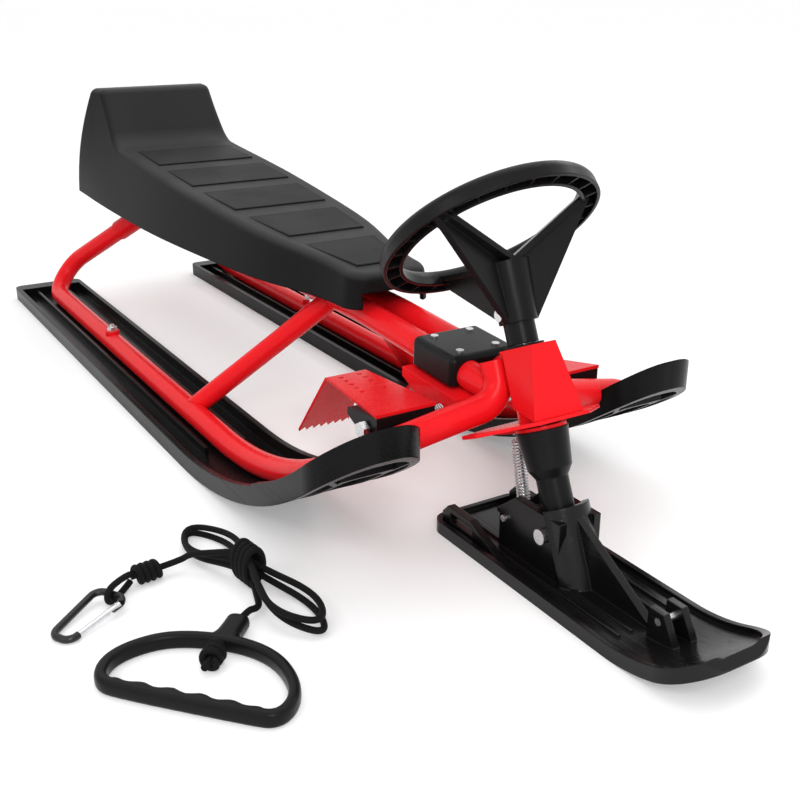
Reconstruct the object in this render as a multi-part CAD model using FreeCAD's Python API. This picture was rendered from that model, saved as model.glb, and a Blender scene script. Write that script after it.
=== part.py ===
"""Steering sled: tubular steel frame, two trough skis, a steered front ski, a moulded seat and two brakes.

x runs forward from the tails of the skis, y to the rider's left and z up from the snow, in millimetres.
The finished pieces are moved so that the origin lies under the middle of the sled.
"""
import FreeCAD
import Part
import math
import os

V = FreeCAD.Vector
UP = V(0, 0, 1)
LEFT = V(0, 1, 0)
AHEAD = V(1, 0, 0)
SIDES = {"right": -1, "left": 1}

# Whole sled
sled_length = 1285.0
sled_width = 388.0
overrun = 40.0
body_gap = 0.4
shaft_gap = 0.05
seat_touch = 0.02
coil_ease_share = 0.6

# Rear skis: a trough with a flat sole, an upturned front and a ring at the tip
ski_width = 99.0
ski_length = 1056.0
ski_flat = 728.0
ski_upturn_r = 500.0
ski_sole = 5.0
ski_wall = 6.0
ski_height = 18.0
ski_end_wall = 26.0
ski_tail_r = 12.0
ski_tip_r = 44.0
cradle_rib = 4.0
cradle_height = 9.0
cradle_half = 21.0
ring_start_share = 0.47
ring_height = 20.0
ring_wall = 8.0
ring_pocket = 7.0
ring_deck = 4.0
ring_rib = 4.0
ring_window_length = 70.0
ring_window_width = 40.0
ring_rib_angle = 38.0
ski_bolt_x = 348.0
ski_bolt_r = 3.0
ski_bolt_head_r = 7.0
ski_bolt_head = 2.2
saddle_r = 9.0
saddle_height = 3.0
nut_across = 11.0
nut_height = 5.0
bolt_tail = 3.0

# Steel tubes of the frame
tube_r = 12.5
tube_wall = 1.5
tube_bed = 0.05
hoop_foot_x = -8.0
hoop_peak_x = 226.0
hoop_peak_z = 182.0
hoop_bend_r = 40.0
sleeve_wall = 2.0
sleeve_play = 0.1
sleeve_y = 58.0
sleeve_overlap = 20.0
rear_bend_r = 38.0
lift_x = 865.0
lift_bend_r = 478.0
tip_turn_x = 1003.0
tip_turn_z = 103.5
tip_bend_r = 29.0
head_bend_r = 24.0
upright_y = 14.5
upright_length = 34.0
upright_lift = 8.0
spine_y = 17.0
spine_bend_x = 800.0
spine_bend_r = 800.0
spine_end = 8.0
strut_r = 11.0
strut_foot_x = 630.0
strut_top_x = 735.0

# Steering column, measured up its raked axis from the pivot of the front ski
pivot_x = 1094.0
pivot_z = 42.0
column_rake = 24.0
lower_column_r = 13.5
lower_column_end = 12.0
neck_top = 44.0
shoulder_rise = 8.0
shoulder_r = 18.5
bell_r = 22.0
bell_top = 84.0
hanger_sheet = 3.0
hanger_reach = 44.0
hanger_width = 24.0
hanger_r = 21.0
plate_sheet = 3.0
plate_half = 64.0
plate_front = 34.0
plate_rear = 40.0
head_r = 17.0
head_wall = 2.5
head_height = 60.0
bush_flange = 2.0
bush_depth = 14.0
shaft_r = 7.0
shaft_foot = 30.0
sleeve_r = 13.0
sleeve_length = 32.0
bracket_sheet = 2.5
bracket_front = 27.0
bracket_back = 8.0
bracket_top_half = 12.0
bracket_low_half = 25.0
bracket_notch = 30.0

# Steering wheel: the rim leans further to the rider than the column does
hub_low_r = 16.0
hub_top_r = 19.0
hub_height = 50.0
hub_socket = 14.0
wheel_rise = 80.0
wheel_back = 14.0
wheel_lean = 17.0
wheel_r = 95.0
rim_width = 17.0
rim_height = 16.0
rim_wall = 3.0
rim_rib = 2.0
rim_ribs = 24
spoke_web = 6.0
spoke_blade = 5.0
spoke_wide = 26.0
spoke_angles = (60.0, 180.0, 300.0)
wheel_bolt_r = 3.0
wheel_bolt_head_r = 5.0
wheel_bolt_head = 3.0
wheel_bolt_rise = 8.0

# Cover and brake bracket on the spine, measured from the bend of the spine tubes
cover_start = 115.0
cover_length = 65.0
cover_half = 35.0
cover_top = 17.0
cover_drop = 9.0
cover_round = 6.0
cover_screw_r = 3.5
cover_screw_head = 1.6
cover_screw_along = 20.0
cover_screw_y = 19.0
brake_bracket_start = 112.0
brake_bracket_length = 86.0
brake_bracket_half = 42.0
brake_bracket_sheet = 3.0
brake_cheek = 18.0
axle_along = 180.0
axle_drop = 30.0
axle_r = 4.0
axle_nut_r = 7.0
axle_nut = 6.0

# Brake pedals, measured from the axle, with the plan narrowing in between the skis behind
pedal_inner_y = 60.0
pedal_width = 58.0
pedal_sheet = 3.0
pedal_top = 18.0
pedal_front = 16.0
pedal_back = 134.0
pedal_fall = 20.0
flange_back = 76.0
flange_fall = 82.0
fold_inner_y = 43.0
fold_outer_y = 86.0
tooth_inner_y = 22.0
tooth_outer_y = 80.0
fold_r = 8.0
tooth_count = 7
tooth_depth = 8.0
pedal_hole_r = 2.6
pedal_holes = 5
pedal_hole_start = 14.0
pedal_hole_pitch = 15.0
pedal_row_shares = (0.28, 0.72)
boss_r = 12.0
boss_back = 34.0
boss_slots = 3
boss_slot = 5.0
boss_slot_depth = 16.0
boss_roof = 3.0
boss_foot_share = 0.8
boss_inset = 1.0
return_spring_r = 7.0
return_wire_r = 1.0
return_turns = 3

# Seat
seat_rear_x = 38.0
seat_low_z = 165.0
seat_back_top_x = 142.0
seat_back_top = 322.0
seat_back_thick = 34.0
seat_base_x = 230.0
seat_base_z = 252.0
seat_front_x = 828.0
seat_front_z = 199.0
seat_lap_r = 45.0
seat_crest_r = 15.0
seat_rear_half = 89.0
seat_mid_x = 340.0
seat_mid_half = 97.0
seat_front_half = 42.0
seat_rear_lean = -0.12
seat_mid_lean = 0.19
seat_front_lean = 0.08
seat_station_shares = (0.0, 0.2, 0.35, 0.5, 0.7, 0.85, 1.0)
seat_wall = 5.0
seat_corner_r = 22.0
steep_share = 0.9
seat_edge_r = 9.0
seat_arch_half = 34.0
seat_arch_rise = 16.0
seat_panels = 5
panel_pitch = 112.0
panel_length = 84.0
panel_start = 40.0
panel_rise = 1.6
panel_margin = 18.0
seat_bolt_xs = (270.0, 690.0)
seat_boss_r = 9.0
seat_bolt_r = 3.0
seat_bolt_head_r = 6.0
seat_bolt_head = 4.0
seat_bolt_bite = 12.0

# Front ski
front_ski_length = 315.0
front_ski_half = 48.0
front_ski_edge = 12.0
front_ski_sole = 8.0
front_ski_rim = 5.0
front_ski_flat = 227.0
front_ski_upturn_r = 160.0
front_ski_rear_r = 14.0
front_ski_tip_r = 36.0
ridge_width = 3.0
ridge_height = 2.0
ridge_ys_share = (0.36, 0.62)
cheek_thick = 7.0
cheek_gap = 0.6
cheek_rear = 58.0
cheek_front = 20.0
cheek_top = 18.0
cheek_rear_top = 2.0
socket_gap = 6.0
socket_wall = 6.0
socket_top = 20.0
socket_start = 10.0
gusset_thick = 7.0
gusset_end = 104.0
ear_thick = 6.0
ear_gap = 12.0
ear_x = 112.0
ear_length = 30.0
ear_height = 34.0
ear_pin_r = 3.0
ear_pin_drop = 8.0
loop_y = 37.0
loop_thick = 7.0
loop_start = 8.0
loop_length = 84.0
loop_height = 19.0
loop_window_start = 20.0
loop_window_length = 34.0
loop_window_height = 8.0
pivot_bolt_r = 4.0
pivot_head_r = 6.5
pivot_head = 4.5
spring_bar_r = 3.0
spring_bar_back = 50.0
spring_bar_drop = 6.0
spring_coil_r = 5.0
spring_wire_r = 1.0
spring_turns = 9
spring_hook = 3.0

# Tow handle, lying on the snow beside the sled
handle_x = 1084.0
handle_y = -315.0
handle_turn = 45.0
handle_half = 70.0
handle_low = 36.0
handle_high = 54.0
handle_shoulder = 30.0
handle_side = 8.0
handle_bar = 13.0
handle_thick = 15.0
handle_corner_r = 24.0
handle_round = 5.0
finger_count = 4
finger_r = 15.0
finger_depth = 4.0
stem_half = 11.0
stem_length = 28.0

# Tow rope: a hank drawn in by a wrap, a knotted eye and a snap hook
rope_r = 2.7
rope_air = 1.8
rope_play = 0.3
rope_bend_share = 0.45
hank_x = 972.0
hank_y = -226.0
hank_turn = 8.0
hank_half = 112.0
hank_belly = 20.0
hank_belly_share = 0.6
hank_fan = 5.0
hank_waist = 3.65
hank_loops = 2
hank_lift = 11.4
hank_run = 11.0
hank_mouth_along = 31.0
hank_mouth_out = 12.0
hank_exit_along = 30.0
hank_exit_out = 20.0
wrap_turns = 3
wrap_half = 9.3
wrap_corner = 9.1
knot_coil_r = 6.2
knot_turns = 2
knot_length = 27.0
knot_lead = 2.4
knot_x = 925.0
knot_y = -283.0
knot_turn = -85.0
lead_straight = 14.0
tail_straight = 16.0
eye_spread = 3.2
eye_start = 1.9
eye_run = 14.0
hook_back_x = 945.0
hook_back_y = -331.0
hook_turn = -58.0
hook_length = 58.0
hook_wide = 30.0
hook_narrow = 18.0
hook_bar_r = 3.0
hook_bend_r = 8.0
hook_air = 0.5
gate_r = 2.4
gate_root_share = 0.2
gate_nose_share = 0.84
gate_pin_r = 1.0
gate_lap = 7.0

# Places worked out from the sizes
tube_z = ski_sole + tube_r
ski_y = (sled_width - ski_width) / 2
ski_tip_angle = math.asin((ski_length + overrun - ski_flat) / ski_upturn_r)
ring_angle = ski_tip_angle * ring_start_share
hoop_lean = hoop_peak_x - hoop_foot_x
hoop_rise = hoop_peak_z - tube_z
hoop_run = math.hypot(hoop_lean, hoop_rise)
crown_drop = hoop_bend_r * (math.hypot(hoop_run, ski_y) / ski_y - 1)
crown_x = hoop_peak_x - crown_drop * hoop_lean / hoop_run
spine_z = hoop_peak_z - crown_drop * hoop_rise / hoop_run
sleeve_inner_r = tube_r + sleeve_play
hoop_r = sleeve_inner_r + sleeve_wall
rake = math.radians(column_rake)
COLUMN_UP = V(-math.sin(rake), 0, math.cos(rake))
COLUMN_AHEAD = V(math.cos(rake), 0, math.sin(rake))
hanger_low = bell_top + seat_touch
plate_low = hanger_low + hanger_sheet + bush_flange + body_gap
plate_top = plate_low + plate_sheet
head_top = plate_top + head_height
upright_rise = plate_top + tube_r + upright_lift
upright_ahead = -math.sqrt((head_r + tube_r) ** 2 - upright_y ** 2)
sleeve_low = head_top + bush_flange + body_gap
hub_low = sleeve_low + sleeve_length - hub_socket
wheel_up = hub_low + wheel_rise
front_ski_rear = sled_length - front_ski_length
knot_z = knot_coil_r + rope_r


def column(up, ahead=0.0, left=0.0):
    """A place given in the steering column's own directions."""
    return V(pivot_x, 0, pivot_z) + COLUMN_UP * up + COLUMN_AHEAD * ahead + LEFT * left


spine_bend = V(spine_bend_x, 0, spine_z)
spine_end_point = column(upright_rise + spine_end, upright_ahead)
SPINE_ALONG = (spine_end_point - spine_bend).normalize()
SPINE_UP = SPINE_ALONG.cross(LEFT)


def spine(along, up=0.0, left=0.0):
    """A place given along the sloping front of the spine."""
    return spine_bend + SPINE_ALONG * along + SPINE_UP * up + LEFT * left


axle = spine(axle_along, -axle_drop)


def line(first, last):
    return Part.LineSegment(first, last).toShape()


def arc(first, middle, last):
    return Part.Arc(first, middle, last).toShape()


def prism(points, sweep):
    """The solid that a closed outline makes along a vector."""
    return Part.Face(Part.makePolygon(list(points) + [points[0]])).extrude(sweep)


def rod(base, along, radius, length):
    return Part.makeCylinder(radius, length, base, along)


def across(middle, radius, half):
    """A rod from right to left about a middle point."""
    return rod(middle - LEFT * half, LEFT, radius, 2 * half)


def slab(low, high):
    size = high - low
    return Part.makeBox(size.x, size.y, size.z, low)


def uprights(shape):
    return [edge for edge in shape.Edges if abs(edge.tangentAt(edge.FirstParameter).z) > 0.9]


def rounded_block(low, high, rear_r, front_r):
    """A block whose upright edges are rounded, behind and in front."""
    block = slab(low, high)
    middle = (low.x + high.x) / 2
    block = block.makeFillet(front_r, [e for e in uprights(block) if e.CenterOfMass.x > middle])
    rear = [e for e in uprights(block) if abs(e.CenterOfMass.x - low.x) < rear_r]
    return block.makeFillet(rear_r, rear)


def edges_near(shape, test):
    return [edge for edge in shape.Edges if test(edge)]


def mirrored(shape):
    return shape.mirror(V(0, 0, 0), LEFT)


def rounded_path(points, radii):
    """Straight runs through the points, joined by tangent arcs."""
    edges = []
    start = points[0]
    for before, corner, after, radius in zip(points, points[1:], points[2:], radii):
        into = (before - corner).normalize()
        out = (after - corner).normalize()
        half = into.getAngle(out) / 2
        reach = radius / math.tan(half)
        inward = (into + out).normalize()
        first = corner + into * reach
        last = corner + out * reach
        edges.append(line(start, first))
        edges.append(arc(first, corner + inward * (radius / math.sin(half) - radius), last))
        start = last
    edges.append(line(start, points[-1]))
    return Part.Wire(edges)


def swept(path, radius):
    """A round bar along a path."""
    first = path.OrderedEdges[0]
    start = first.valueAt(first.FirstParameter)
    along = first.tangentAt(first.FirstParameter)
    if first.Orientation == "Reversed":
        start = first.valueAt(first.LastParameter)
        along = first.tangentAt(first.LastParameter) * -1
    ring = Part.Wire(Part.Circle(start, along, radius).toShape())
    return path.makePipeShell([ring], True, False)


def pipe(path, radius, wall):
    return swept(path, radius).cut(swept(path, radius - wall))


def arc_from(first, along, last):
    """The arc that leaves a point along a direction and ends at another point."""
    chord = last - first
    unit = V(chord).normalize()
    side = along - unit * along.dot(unit)
    if side.Length < shaft_gap / overrun:
        return line(first, last)
    lean = unit.getAngle(along)
    return arc(first, (first + last) * 0.5 + side.normalize() * (chord.Length / 2 * math.tan(lean / 2)), last)


def biarcs(points, tangents):
    """A smooth path of paired arcs through points with given directions."""
    edges = []
    for first, last, out, into in zip(points, points[1:], tangents, tangents[1:]):
        chord = last - first
        both = out + into
        spread = 2 * (1 - out.dot(into))
        reach = chord.dot(chord) / (2 * chord.dot(both)) if spread < 1e-6 else (
            (math.sqrt(chord.dot(both) ** 2 + spread * chord.dot(chord)) - chord.dot(both)) / spread)
        middle = (first + last + (out - into) * reach) * 0.5
        edges.append(arc_from(first, out, middle))
        edges.append(arc_from(last, into * -1, middle))
    return Part.Wire(Part.__sortEdges__(edges))


def least_gap(path, radius, name):
    """Prints how near a wound tube comes to itself and how tightly it bends."""
    steps = int(2 * path.Length / radius)
    places = path.discretize(Number=steps)
    spacing = path.Length / (steps - 1)
    skip = int(math.ceil(8 * radius / spacing)) + 1
    nearest = min(a.distanceToPoint(b) for i, a in enumerate(places) for b in places[i + skip:])
    tightest = min(edge.Curve.Radius for edge in path.Edges if hasattr(edge.Curve, "Radius"))
    print(name, "least gap to itself", round(nearest - 2 * radius, 2), "tightest bend", round(tightest, 2))


def coil(start, end, radius, wire_r, turns, lead, name):
    """A coil from one face to another, with ends that run straight into the faces."""
    axis = (end - start).normalize()
    side = axis.cross(AHEAD if abs(axis.dot(AHEAD)) < 0.9 else UP).normalize()
    other = axis.cross(side)
    ease = max(lead, coil_ease_share * radius)
    rise = (end - start).Length - 2 * (lead + ease)
    points = [start + side * radius, start + side * radius + axis * lead]
    tangents = [axis, axis]
    halves = 2 * turns
    pitch = rise / turns
    for step in range(halves + 1):
        angle = math.pi * (step + 0.5)
        out = side * math.cos(angle) + other * math.sin(angle)
        round_way = other * math.cos(angle) - side * math.sin(angle)
        points.append(start + out * radius + axis * (lead + ease + rise * step / halves))
        tangents.append((round_way * (2 * math.pi * radius) + axis * pitch).normalize())
    last_angle = math.pi * (halves + 1)
    foot = side * math.cos(last_angle) + other * math.sin(last_angle)
    points += [end + foot * radius - axis * lead, end + foot * radius]
    tangents += [axis, axis]
    path = biarcs(points, tangents)
    least_gap(path, wire_r, name)
    return swept(path, wire_r)


def hexagon(middle, along, across_flats, height):
    """A hexagon nut's body."""
    reach = across_flats / math.sqrt(3)
    side = along.cross(AHEAD if abs(along.dot(AHEAD)) < 0.9 else LEFT).normalize()
    other = along.cross(side)
    corners = []
    for index in range(6):
        angle = math.pi / 3 * index
        corners.append(middle + side * (reach * math.cos(angle)) + other * (reach * math.sin(angle)))
    return prism(corners, along * height)


def ski_at(offset, angle):
    """A place on the upturned front of a rear ski, a distance above its sole."""
    radius = ski_upturn_r - offset
    return V(ski_flat + radius * math.sin(angle), 0, ski_upturn_r - radius * math.cos(angle))


def ski_flat_band(low, high, start, half):
    return slab(V(start, -half, low), V(ski_flat, half, high))


def ski_arc_band(low, high, first, last, half):
    """A layer of the upturned front between two heights above the sole."""
    middle = (first + last) / 2
    outline = Part.Wire([
        arc(ski_at(low, first), ski_at(low, middle), ski_at(low, last)),
        line(ski_at(low, last), ski_at(high, last)),
        arc(ski_at(high, last), ski_at(high, middle), ski_at(high, first)),
        line(ski_at(high, first), ski_at(low, first))])
    face = Part.Face(outline)
    face.translate(LEFT * -half)
    return face.extrude(LEFT * (2 * half))


def ski_plan(inset):
    """The ski's outline from above, as a tall block."""
    half = ski_width / 2 - inset
    return rounded_block(V(inset, -half, -overrun), V(ski_length - inset, half, ski_upturn_r),
                         ski_tail_r - inset, ski_tip_r - inset)


def ring_ribs(middle):
    """Crossing ribs and a window frame that stay inside the hollow tip."""
    span = ski_length - ski_flat
    ribs = slab(V(-span, -ring_rib / 2, -overrun), V(span, ring_rib / 2, ski_upturn_r))
    pair = []
    for turn in (ring_rib_angle, -ring_rib_angle):
        rib = ribs.copy()
        rib.rotate(V(0, 0, 0), UP, turn)
        pair.append(rib)
    frame_half = ring_window_width / 2 + ring_rib
    frame_reach = ring_window_length / 2 + ring_rib
    frame = slab(V(-frame_reach, -frame_half, -overrun), V(frame_reach, frame_half, ski_upturn_r))
    whole = pair[0].fuse([pair[1], frame])
    whole.translate(AHEAD * middle)
    return whole


def rear_ski():
    """The right trough ski, with a bed for the tube where it leaves over the inner wall."""
    half = ski_width / 2
    inner = half - ski_wall
    ring_mid = (ski_at(0, ring_angle).x + ski_length) / 2
    body = ski_flat_band(0, ski_height, 0, half)
    body = body.fuse([ski_arc_band(0, ski_height, 0, ski_tip_angle, half),
                      ski_arc_band(0, ring_height, ring_angle, ski_tip_angle, half)])
    body = body.removeSplitter().common(ski_plan(0))
    high = ring_height + overrun
    trough = ski_flat_band(ski_sole, high, ski_end_wall, inner)
    trough = trough.fuse(ski_arc_band(ski_sole, high, 0, ring_angle, inner))
    for side in SIDES.values():
        middle = side * cradle_half
        trough = trough.cut(slab(V(0, middle - cradle_rib / 2, 0),
                                 V(ski_flat, middle + cradle_rib / 2, ski_sole + cradle_height)))
    inside = ski_plan(ring_wall)
    top = ski_arc_band(ring_pocket + ring_deck, high, ring_angle, ski_tip_angle, half).common(inside)
    under = ski_arc_band(-overrun, ring_pocket, ring_angle, ski_tip_angle, half).common(inside)
    under = under.cut(ring_ribs(ring_mid))
    reach = ring_window_length / 2
    wide = ring_window_width / 2
    window = rounded_block(V(ring_mid - reach, -wide, -overrun), V(ring_mid + reach, wide, ski_upturn_r),
                           wide / 2, wide / 2)
    body = body.cut(trough).cut(top).cut(under).cut(window)
    shank = rod(V(ski_bolt_x, 0, -overrun), UP, ski_bolt_r, 2 * overrun)
    recess = rod(V(ski_bolt_x, 0, -overrun), UP, ski_bolt_head_r, overrun + ski_bolt_head)
    body = body.cut(shank).cut(recess)
    body.translate(LEFT * -ski_y)
    return largest(body.cut(swept(side_tube_path(), tube_r + tube_bed)))


def ski_bolt():
    """A round-headed bolt up through the sole, the tube and its saddle."""
    top = tube_z + tube_r + saddle_height + nut_height + bolt_tail
    return rod(V(ski_bolt_x, 0, 0), UP, ski_bolt_head_r, ski_bolt_head).fuse(
        rod(V(ski_bolt_x, 0, 0), UP, ski_bolt_r, top)).removeSplitter()


def ski_saddle():
    """A round boss on the tube, under the nut."""
    boss = rod(V(ski_bolt_x, 0, tube_z), UP, saddle_r, tube_r + saddle_height)
    boss = boss.cut(rod(V(0, 0, tube_z), AHEAD, tube_r, sled_length))
    return boss.cut(rod(V(ski_bolt_x, 0, 0), UP, ski_bolt_r, sled_length))


def ski_nut():
    base = V(ski_bolt_x, 0, tube_z + tube_r + saddle_height)
    return hexagon(base, UP, nut_across, nut_height).cut(rod(base, UP, ski_bolt_r, nut_height))


def hoop_slope_point(y):
    """A place on the right-hand slope of the rear hoop."""
    share = abs(y) / ski_y
    return V(hoop_peak_x - hoop_lean * share, y, hoop_peak_z - hoop_rise * share)


def side_tube_path():
    """The right side tube: from the hoop down, along the ski, up into its tip and in to the head."""
    return rounded_path([
        hoop_slope_point(-(sleeve_y - sleeve_overlap)),
        V(hoop_foot_x, -ski_y, tube_z),
        V(lift_x, -ski_y, tube_z),
        V(tip_turn_x, -ski_y, tip_turn_z),
        column(upright_rise, upright_ahead, -upright_y),
        column(upright_rise + upright_length, upright_ahead, -upright_y),
    ], [rear_bend_r, lift_bend_r, tip_bend_r, head_bend_r])


def hoop_path():
    return rounded_path([hoop_slope_point(-sleeve_y), V(hoop_peak_x, 0, hoop_peak_z),
                         hoop_slope_point(sleeve_y)],
                        [hoop_bend_r])


def spine_path():
    return rounded_path([V(crown_x, -spine_y, spine_z), V(spine_bend_x, -spine_y, spine_z),
                         V(spine_end_point.x, -spine_y, spine_end_point.z)], [spine_bend_r])


def seat_bolt_holes():
    holes = [rod(V(x, -spine_y, 0), UP, seat_bolt_r, seat_low_z + overrun) for x in seat_bolt_xs]
    return holes[0].fuse(holes[1:])


def strut_bar():
    """The strut's solid line from the middle of the side tube to the middle of the spine tube."""
    foot = V(strut_foot_x, -ski_y, tube_z)
    top = V(strut_top_x, -spine_y, spine_z)
    return rod(foot, top - foot, strut_r, (top - foot).Length), rod(
        foot, top - foot, strut_r - tube_wall, (top - foot).Length)


def frame_tubes():
    """All tubes of the right side and the hoop, each cut where it is welded to the next."""
    side_path = side_tube_path()
    side_solid = swept(side_path, tube_r)
    bolt_hole = rod(V(ski_bolt_x, -ski_y, 0), UP, ski_bolt_r, overrun)
    side = side_solid.cut(swept(side_path, tube_r - tube_wall)).cut(bolt_hole)
    hoop_solid = swept(hoop_path(), hoop_r)
    hoop = hoop_solid.cut(swept(hoop_path(), sleeve_inner_r))
    spine_solid = swept(spine_path(), tube_r)
    spine_tube = spine_solid.cut(swept(spine_path(), tube_r - tube_wall))
    spine_tube = spine_tube.cut(hoop_solid).cut(side_solid).cut(seat_bolt_holes())
    outer, inner = strut_bar()
    strut = outer.cut(inner).cut(side_solid).cut(spine_solid)
    return side, hoop, largest(spine_tube), largest(strut)


def largest(shape):
    """The biggest solid of a cut, without the slivers beyond a weld."""
    return max(shape.Solids, key=lambda solid: solid.Volume)


def head_tube():
    whole = rod(column(plate_low), COLUMN_UP, head_r, head_top - plate_low)
    return whole.cut(rod(column(plate_low), COLUMN_UP, head_r - head_wall, head_top - plate_low))


def bush(base, along):
    """A flanged plastic bush for one end of the head tube."""
    outer = head_r - head_wall
    body = rod(base - along * bush_flange, along, head_r, bush_flange)
    body = body.fuse(rod(base, along, outer, bush_depth)).removeSplitter()
    return body.cut(rod(base - along * overrun, along, shaft_r + shaft_gap, 2 * overrun))


def bottom_plate():
    """The flat plate under the head tube."""
    half_outline = [(plate_front, bracket_low_half), (0, plate_half), (-plate_rear / 2, plate_half),
                    (-plate_rear, bracket_low_half)]
    outline = [column(plate_low, ahead, left) for ahead, left in half_outline]
    outline += [column(plate_low, ahead, -left) for ahead, left in reversed(half_outline)]
    plate = prism(outline, COLUMN_UP * plate_sheet)
    return plate.cut(rod(column(plate_low - overrun), COLUMN_UP, head_r, 2 * overrun))


def bracket_loft(inset, low, high):
    """The tapered body that the folded head bracket wraps."""
    rings = []
    for up, share in ((low, (low - plate_top) / head_height), (high, (high - plate_top) / head_height)):
        half = bracket_low_half + (bracket_top_half - bracket_low_half) * share - inset
        back_half = head_r - inset + bracket_sheet
        front = bracket_front - inset
        corners = [column(up, front, -half), column(up, front, half), column(up, -bracket_back, back_half),
                   column(up, -bracket_back, -back_half)]
        rings.append(Part.makePolygon(corners + [corners[0]]))
    return Part.makeLoft(rings, True, True)


def head_bracket():
    """One sheet folded round the front of the head tube, with its flaps cut back at the foot."""
    top = head_top
    sheet = bracket_loft(0, plate_top, top)
    sheet = sheet.cut(bracket_loft(bracket_sheet, plate_top - overrun, top - bracket_sheet))
    back = bracket_back + overrun
    open_rear = prism([column(plate_top, -bracket_back + bracket_sheet, -plate_half),
                       column(top - bracket_sheet, -bracket_back + bracket_sheet, -plate_half),
                       column(top - bracket_sheet, -back, -plate_half),
                       column(plate_top, -back, -plate_half)], LEFT * (2 * plate_half))
    notch = prism([column(plate_top, bracket_front - bracket_sheet, -plate_half),
                   column(plate_top + bracket_notch, -back, -plate_half),
                   column(plate_top, -back, -plate_half)], LEFT * (2 * plate_half))
    sheet = sheet.cut(notch).cut(open_rear)
    return sheet.cut(rod(column(plate_top), COLUMN_UP, head_r, 2 * head_height))


def steering_shaft():
    low = bell_top - shaft_foot
    high = hub_low + hub_height - hub_socket
    return rod(column(low), COLUMN_UP, shaft_r, high - low)


def upper_column():
    body = rod(column(sleeve_low), COLUMN_UP, sleeve_r, sleeve_length)
    bolt_at = column(hub_low + wheel_bolt_rise)
    return body.cut(rod(column(sleeve_low), COLUMN_UP, shaft_r, sleeve_length)).cut(
        across(bolt_at, wheel_bolt_r, overrun))


def lower_column():
    """The turned lower column: a narrow foot in the ski's socket and a bell under the head."""
    shape = [(0, -lower_column_end), (lower_column_r * 0.7, -lower_column_end),
             (lower_column_r, -lower_column_r / 2),
             (lower_column_r, neck_top), (shoulder_r, neck_top + shoulder_rise), (bell_r, bell_top),
             (0, bell_top)]
    outline = [column(up, radius) for radius, up in shape]
    body = Part.Face(Part.makePolygon(outline + [outline[0]])).revolve(column(0), COLUMN_UP, 360)
    body = body.cut(rod(column(bell_top - shaft_foot), COLUMN_UP, shaft_r, shaft_foot))
    return body.cut(across(column(0), pivot_bolt_r + shaft_gap, overrun))


def spring_hanger():
    """A washer clamped on the bell, with a tab behind that holds the top of the spring."""
    disc = rod(column(hanger_low), COLUMN_UP, hanger_r, hanger_sheet)
    tab = prism([column(hanger_low, 0, -hanger_width / 2), column(hanger_low, 0, hanger_width / 2),
                 column(hanger_low, -hanger_reach, hanger_width / 2),
                 column(hanger_low, -hanger_reach, -hanger_width / 2)], COLUMN_UP * hanger_sheet)
    whole = disc.fuse(tab).removeSplitter()
    return whole.cut(rod(column(hanger_low - overrun), COLUMN_UP, shaft_r, 2 * overrun))


def wheel_axes():
    """The rim's middle, the way it faces and the way ahead in its plane."""
    lean = math.radians(wheel_lean)
    face = COLUMN_UP * math.cos(lean) - COLUMN_AHEAD * math.sin(lean)
    ahead = COLUMN_AHEAD * math.cos(lean) + COLUMN_UP * math.sin(lean)
    return column(wheel_up, -wheel_back), face, ahead


def wheel_rim():
    """A rim with a round back, open underneath and stiffened by small ribs."""
    middle, face, ahead = wheel_axes()
    outer = wheel_r
    inner = wheel_r - rim_width
    centre = wheel_r - rim_width / 2

    def rim_point(radius, up):
        return middle + ahead * radius + face * up

    def channel(inset, low):
        crown = rim_height / 2 - inset
        width = rim_width / 2 - inset
        wire = Part.Wire([
            line(rim_point(centre + width, low), rim_point(centre + width, 0)),
            arc(rim_point(centre + width, 0), rim_point(centre, crown), rim_point(centre - width, 0)),
            line(rim_point(centre - width, 0), rim_point(centre - width, low)),
            line(rim_point(centre - width, low), rim_point(centre + width, low))])
        return Part.Face(wire).revolve(middle, face, 360)

    hollow = channel(rim_wall, -rim_height / 2 - rim_wall)
    ring = channel(0, -rim_height / 2).cut(hollow)
    rib = prism([middle + ahead * (inner + rim_wall / 2) - face * (rim_height / 2 - rim_wall / 2),
                 middle + ahead * (outer - rim_wall / 2) - face * (rim_height / 2 - rim_wall / 2),
                 middle + ahead * (outer - rim_wall / 2), middle + ahead * (inner + rim_wall / 2)],
                 LEFT * rim_rib)
    ribs = []
    for index in range(rim_ribs):
        copy = rib.copy()
        copy.rotate(middle, face, 360.0 / rim_ribs * (index + 0.5))
        ribs.append(copy)
    return ring.fuse(ribs)


def wheel_spoke(angle):
    """A blade to the rim over a deep web that runs down the hub."""
    middle, face, ahead = wheel_axes()
    turn = math.radians(angle)
    reach = wheel_r - rim_width / 2
    rim_place = middle + (ahead * math.cos(turn) + LEFT * math.sin(turn)) * reach
    from_axis = rim_place - column(0)
    rise = from_axis.dot(COLUMN_UP)
    out = from_axis - COLUMN_UP * rise
    far = out.Length
    out.normalize()
    side = COLUMN_UP.cross(out)

    def place(radius, up):
        return column(up) + out * radius - side * (spoke_web / 2)

    hub_top = hub_low + hub_height
    web = prism([place(0, hub_low), place(hub_low_r, hub_low), place(far, rise - rim_height / 2 + rim_wall),
                 place(far, rise + rim_wall), place(0, hub_top)], side * spoke_web)
    edge = place(far, rise + rim_wall) - place(0, hub_top)
    normal = edge.cross(side).normalize()
    wide = side * ((spoke_wide - spoke_web) / 2)
    blade = prism([place(0, hub_top) - wide, place(far, rise + rim_wall) - wide * 0.6,
                   place(far, rise + rim_wall) + wide * 0.6 + side * spoke_web,
                   place(0, hub_top) + wide + side * spoke_web],
                   normal * (spoke_blade if normal.z < 0 else -spoke_blade))
    return web.fuse(blade)


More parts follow.
